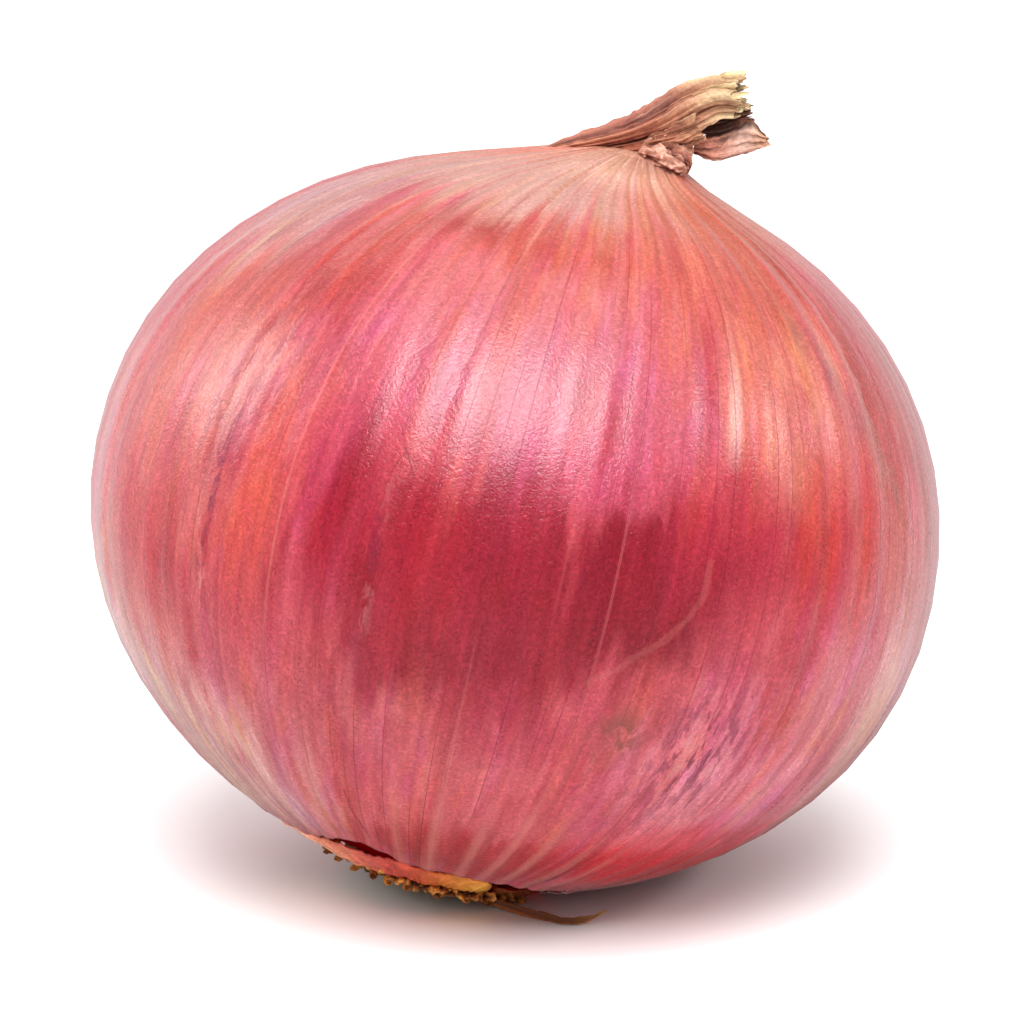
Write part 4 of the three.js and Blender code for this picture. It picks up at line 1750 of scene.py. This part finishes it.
@dataclass
class NeckBundle:
    """The withered neck: a twisted wrapper, a pale leaf end, a side fold, a flap, a knot, and a dark sheet
    of painted shadow in the cavity.
    """

    wardrobe: Wardrobe
    flap_thickness: float = 0.22
    flap_cup: float = 0.9
    flap_lower: tuple[Place, ...] = (
        (16.6, 3.0, 68.7),
        (18.7, 3.2, 67.9),
        (21.1, 3.3, 68.4),
        (23.7, 3.4, 69.3),
    )
    flap_upper: tuple[Place, ...] = (
        (16.9, 3.6, 69.8),
        (19.6, 4.6, 70.9),
        (21.9, 4.9, 71.6),
        (23.6, 4.1, 70.2),
    )
    flap_colours: tuple[str, ...] = ("cc745c", "f4a890", "ffccb8", "fcb890")
    furrow_shade: float = 1.6
    furrow_shade_warmth: tuple[float, float, float] = (0.75, 1.1, 1.2)

    @staticmethod
    def _shifted(points: Array) -> Array:
        """Points given over the bulb's middle, moved into the frame."""
        return points + np.array([BULB.centre[0], BULB.centre[1], 0.0])

    def leaf(self, leaf: Leaf) -> None:
        """Makes one leaf tube: pleated, crumpled, and torn or closed at its far end.

        Args:
            leaf: its sizes and colours.
        """
        t = np.linspace(0.0, 1.0, leaf.rows)
        scale = np.ones(leaf.rows)
        if leaf.mouth is Mouth.OPEN:
            inside = np.linspace(1.0, 0.0, 16)
            run_length = float(np.linalg.norm(np.subtract(leaf.path[-1], leaf.path[0])))
            t = np.concatenate([t, 1.0 - (1 - inside) * leaf.hollow / run_length])
            scale = np.concatenate([scale, 0.90 - 0.35 * (1 - inside) ** 2])
        else:
            cap = np.linspace(0.0, 1.0, 8)
            scale = scale * np.sqrt(np.clip(1 - ease(t, 0.86, 1.0) * 0.9, 0.02, 1.0))
            t = np.concatenate([t, np.ones(len(cap) - 1)])
            scale = np.concatenate([scale, scale[-1] * (1 - cap[1:] * 0.9)])
        start = ease(t, -0.02, 0.10)
        scale = scale * np.where(t < 0.1, np.sqrt(np.clip(start, 0.05, 1.0)), 1.0)
        middle = spline(leaf.path, t)
        step = 0.004
        run = spline(leaf.path, np.clip(t + step, 0, 1)) - spline(leaf.path, np.clip(t - step, 0, 1))
        run /= np.linalg.norm(run, axis=1)[:, None]
        deep_way = np.array([0.0, 1.0, 0.0])
        tall_way = -np.cross(run, deep_way)
        angle = np.linspace(0, 2 * math.pi, leaf.columns, endpoint=False)
        knots = np.linspace(0.0, 1.0, len(leaf.tall))
        tall = np.interp(t, knots, leaf.tall) * scale
        deep = np.interp(t, knots, leaf.deep) * scale
        wave = leaf.pleats * angle[None, :] + leaf.twist * t[:, None]
        pleat = 1 + leaf.pleat_depth * (np.cos(wave) + 0.5 * np.abs(np.sin(1.5 * wave + 1)) - 0.3)
        up = (tall[:, None] * pleat * np.sin(angle))[..., None] * tall_way[:, None]
        back = (deep[:, None] * pleat * np.cos(angle))[..., None] * deep_way
        strands = np.stack(np.broadcast_arrays(np.cos(angle) * 3, np.sin(angle) * 3, t[:, None] * 1.6), -1)
        tatters = 1.1 * rumple(strands[-1:], 0.28, 50)[0]
        torn = leaf.torn * (np.sin(3 * angle + 1) * np.cos(7 * angle) + tatters)
        torn = ease(t, 0.72, 1.0)[:, None] * torn
        points = middle[:, None] + up + back + run[:, None] * torn[..., None]
        out = up + back
        out /= np.linalg.norm(out, axis=-1)[..., None] + 1e-9
        seed = len(leaf.name)
        fold = 0.30 * rumple(strands, (0.9, 0.9, 1.2), seed)
        fold += 0.18 * rumple(strands, (0.35, 0.35, 1.0), seed + 1)
        fold += 0.45 * (0.25 - np.sqrt(np.abs(rumple(strands, (0.7, 0.7, 0.9), seed + 6)) + 0.002))
        crush = rumple(points, 1.1, seed + 2) + 0.5 * rumple(points, 0.5, seed + 3)
        crush = leaf.crumple * (crush + 0.5 * (0.3 - np.abs(rumple(points, 0.7, seed + 5))))
        points = points + out * ((fold * 0.9 + crush) * np.minimum(scale, 1.0)[:, None])[..., None]
        fringe = 0.05 * rumple(strands, (0.5, 0.5, 2.0), seed + 4)
        tint = spline([paint(code) for code in leaf.colours], np.clip(t[:, None] + fringe, 0, 1))
        upper_edge = ease(-np.sin(angle), 0.5, 0.95) * (1 - ease(t, 0.62, 0.82))[:, None]
        tint = mixed(tint, np.array(paint(leaf.back_colour)), upper_edge[..., None] * 0.7)
        # Painted shade: the tint darkens in the pleats' furrows, the folds and the crumples, warmer
        # red-brown where it is darkest.
        furrow = 1.6 * (pleat - 1) + 0.8 * fold + 0.9 * crush
        depth = np.clip(1.0 + self.furrow_shade * furrow, 0.22, 1.35)
        tint = tint * depth[..., None] ** np.array(self.furrow_shade_warmth)
        # Painted shade: the turned-in inside of an open mouth is darker.
        hollow = ease(np.arange(len(t)), leaf.rows, leaf.rows + 12)[:, None, None]
        if leaf.mouth is Mouth.OPEN:
            tint = tint * (1 - 0.6 * hollow)
        points = self._shifted(points)
        piece = RingedBody(
            leaf.name,
            points,
            (points[0].mean(0), points[-1].mean(0)),
            {"OFBake": bake_map(points), "Lay": turn_map(t, leaf.columns)},
            {"Tint": np.clip(tint, 0.0, 1.0)},
        ).build()
        self.wardrobe.dress(piece, leaf.finish, *filter(None, (leaf.node,)))

    def flap(self) -> None:
        """Makes the lower leaf tip: a cupped, fibrous blade."""
        rows, along_steps = 90, 40
        across = np.linspace(0.0, 1.0, rows)
        share = np.linspace(0.0, 1.0, along_steps)
        sheet = np.concatenate([share, share[::-1]])
        side = np.repeat([1.0, 0.0], along_steps)
        low, high = spline(self.flap_lower, across), spline(self.flap_upper, across)
        frame_points = mixed(low[:, None], high[:, None], sheet[None, :, None])
        spot = np.stack(np.broadcast_arrays(across[:, None] * 7, sheet * 3, 0.0), -1)
        cup = self.flap_cup * np.sin(math.pi * sheet) * np.sin(math.pi * across)[:, None]
        pleat = 0.14 * np.sin(7 * math.pi * sheet + 2 * across[:, None])
        pleat = pleat + 0.25 * rumple(spot, (1.6, 0.5, 1), 70)
        outward = -cup * 0.4 + pleat + (side - 0.5) * self.flap_thickness
        points = frame_points + np.stack([0 * outward, outward, 0 * outward], -1)
        points[..., 2] += 0.16 * rumple(spot, (0.5, 0.5, 1), 71)
        tip = ease(across, 0.75, 1.0)[:, None]
        points[..., 0] += 0.5 * tip * rumple(spot * np.array([0, 1, 0]), 0.35, 72)
        tint = spline([paint(code) for code in self.flap_colours], across)[:, None]
        tint = np.broadcast_to(tint, points.shape) * (1 + 0.5 * rumple(spot, (2.0, 0.4, 1), 73))[..., None]
        # Painted shade: the blade darkens where its pleats sink back and along its rolled upper edge.
        tint = tint * np.clip(1.0 - 1.3 * pleat - 0.5 * ease(sheet, 0.72, 1.0), 0.35, 1.3)[..., None]
        points = self._shifted(points)
        piece = RingedBody(
            "flap_leaf",
            points,
            (points[0].mean(0), points[-1].mean(0)),
            {"OFBake": bake_map(points), "Lay": turn_map(across, 2 * along_steps)},
            {"Tint": np.clip(tint, 0.0, 1.0)},
        ).build()
        self.wardrobe.dress(piece, Finish.NECK_LEAF, "neck_flap")

    def build(self) -> None:
        """Makes every leaf of the neck."""
        for leaf in (INNER_LEAF, SHEATH, SIDE_FOLD, SHADOW_FILL_LEAF, KNOT):
            self.leaf(leaf)
        self.flap()


# --- Studio -------------------------------------------------------------------------------------


@dataclass(frozen=True)
class Lamp:
    """A soft rectangular lamp: where it stands round the onion, its size and its brightness."""

    name: str
    azimuth: float
    elevation: float
    distance: float
    width: float
    height: float
    radiance: float

    def hang(self, target: Vector) -> None:
        """Puts the lamp in the scene, facing the target.

        Args:
            target: the place it lights, in metres.
        """
        data = bpy.data.lights.new(self.name, "AREA")
        data.shape = "RECTANGLE"
        data.size, data.size_y = self.width, self.height
        data.energy = self.radiance * math.pi * self.width * self.height
        lamp = bpy.data.objects.new(self.name, data)
        bpy.context.scene.collection.objects.link(lamp)
        a, e = math.radians(self.azimuth), math.radians(self.elevation)
        away = Vector((math.sin(a) * math.cos(e), -math.cos(a) * math.cos(e), math.sin(e)))
        lamp.location = target + away * self.distance
        lamp.rotation_mode = "QUATERNION"
        lamp.rotation_quaternion = (-away).to_track_quat("-Z", "Y")


@dataclass
class Studio:
    """A white floor, soft lamps, and the camera."""

    view_elevation: float = 15.0
    view_distance: float = 560.0
    aim_offset: Place = (-0.217, 0.332, 1.139)
    lens: float = 208.69
    floor_size: float = 4.0
    room_front: float = 0.05
    floor_front: float = 0.3
    floor_back: float = 0.9
    floor_shadow: float = 0.12
    room_back: float = 0.88
    room_top: float = 0.3
    fill_low: float = 0.3
    fill_high: float = 1.15
    lamps: tuple[Lamp, ...] = (
        Lamp("front softbox", 0.0, 57.0, 0.9, 0.66, 0.54, 8.6),
        Lamp("left softbox", -108.0, 28.0, 0.8, 0.40, 0.34, 3.8),
        Lamp("right strip", 81.0, 33.0, 0.8, 0.05, 0.14, 45.0),
        Lamp("back softbox", -168.0, 44.0, 1.0, 0.8, 0.12, 3.6),
        Lamp("overhead softbox", 180.0, 85.0, 1.2, 1.0, 1.0, 1.0),
    )

    def build(self) -> None:
        """Makes the floor, lamps, surroundings and camera."""
        target = Vector(BULB.centre) * MM
        for lamp in self.lamps:
            lamp.hang(target)
        self._floor()
        self._surroundings()
        self._camera()

    def _floor(self) -> None:
        """Lays the pale floor that the onion rests on."""
        half = self.floor_size / 2
        corners = [(x * half, y * half, -0.00002) for x, y in ((-1, -1), (1, -1), (1, 1), (-1, 1))]
        mesh = bpy.data.meshes.new("white_floor")
        mesh.from_pydata(corners, [], [(0, 1, 2, 3)])
        floor = bpy.data.objects.new("white_floor", mesh)
        bpy.context.scene.collection.objects.link(floor)
        board = NodeBoard("matt white floor")
        board.set(Base_Color=opaque("f2f1f1", 1.0), Roughness=0.9, Specular_IOR_Level=0.1)
        mesh.materials.append(board.material)
        floor.visible_glossy = False

    def _surroundings(self) -> None:
        """Fills the room with white light, dimmer in front of the onion than behind it.

        A mirror image in the skin sees the floor as a glow that fades out to the front, a dull
        surface gets an even light, and the camera sees plain white past the floor's end.
        """
        world = bpy.data.worlds.new("white room")
        world.use_nodes = True
        board = WorldBoard(world)
        x, y, z = board.split(board.node("TexCoord").outputs["Generated"])
        room = board.fade(y, 0.05, 0.85, self.room_front, self.room_back)
        room = board.math("MULTIPLY", room, board.fade(z, 0.15, 0.5, 1.0, self.room_top))
        glow = board.fade(y, -0.3, 0.6, self.floor_front, self.floor_back)
        shadow = board.math("SUBTRACT", self.floor_shadow, glow)
        under = board.math("MULTIPLY_ADD", board.math("ABSOLUTE", x), 0.3, z)
        floor = board.math("MULTIPLY_ADD", board.fade(under, -0.2, -0.45), shadow, glow)
        below = board.fade(z, -0.1, -0.5)
        room = board.math("MULTIPLY_ADD", below, board.math("SUBTRACT", floor, room), room)
        path = board.node("LightPath")
        fill = board.fade(z, 0.0, 0.9, self.fill_low, self.fill_high)
        dull = board.math("SUBTRACT", fill, room)
        room = board.math("MULTIPLY_ADD", path.outputs["Is Diffuse Ray"], dull, room)
        strength = board.math("MAXIMUM", room, path.outputs["Is Camera Ray"])
        board.feed(board.shader.inputs["Strength"], strength)
        bpy.context.scene.world = world
        bpy.context.scene.view_settings.view_transform = "Standard"

    def _camera(self) -> None:
        """Sets the camera low in front of the onion."""
        elevation = math.radians(self.view_elevation)
        aim = (Vector(BULB.centre) + Vector(self.aim_offset)) * MM
        away = Vector((0.0, -math.cos(elevation), math.sin(elevation)))
        data = bpy.data.cameras.new("camera")
        data.lens, data.sensor_width = self.lens, 36.0
        data.clip_start, data.clip_end = 0.01, 20.0
        camera = bpy.data.objects.new("camera", data)
        bpy.context.scene.collection.objects.link(camera)
        camera.location = aim + away * self.view_distance * MM
        camera.rotation_mode = "QUATERNION"
        camera.rotation_quaternion = (-away).to_track_quat("-Z", "Y")
        bpy.context.scene.camera = camera


def main() -> None:
    """Builds the studio and every piece of the onion."""
    logging.basicConfig(level=logging.INFO, format="%(name)s: %(message)s")
    wardrobe = Wardrobe()
    Studio().build()
    OuterSkin(wardrobe).build()
    InnerScale(wardrobe).build()
    RootEnd(wardrobe).build()
    NeckBundle(wardrobe).build()
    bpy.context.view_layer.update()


if __name__ == "__main__":
    main()
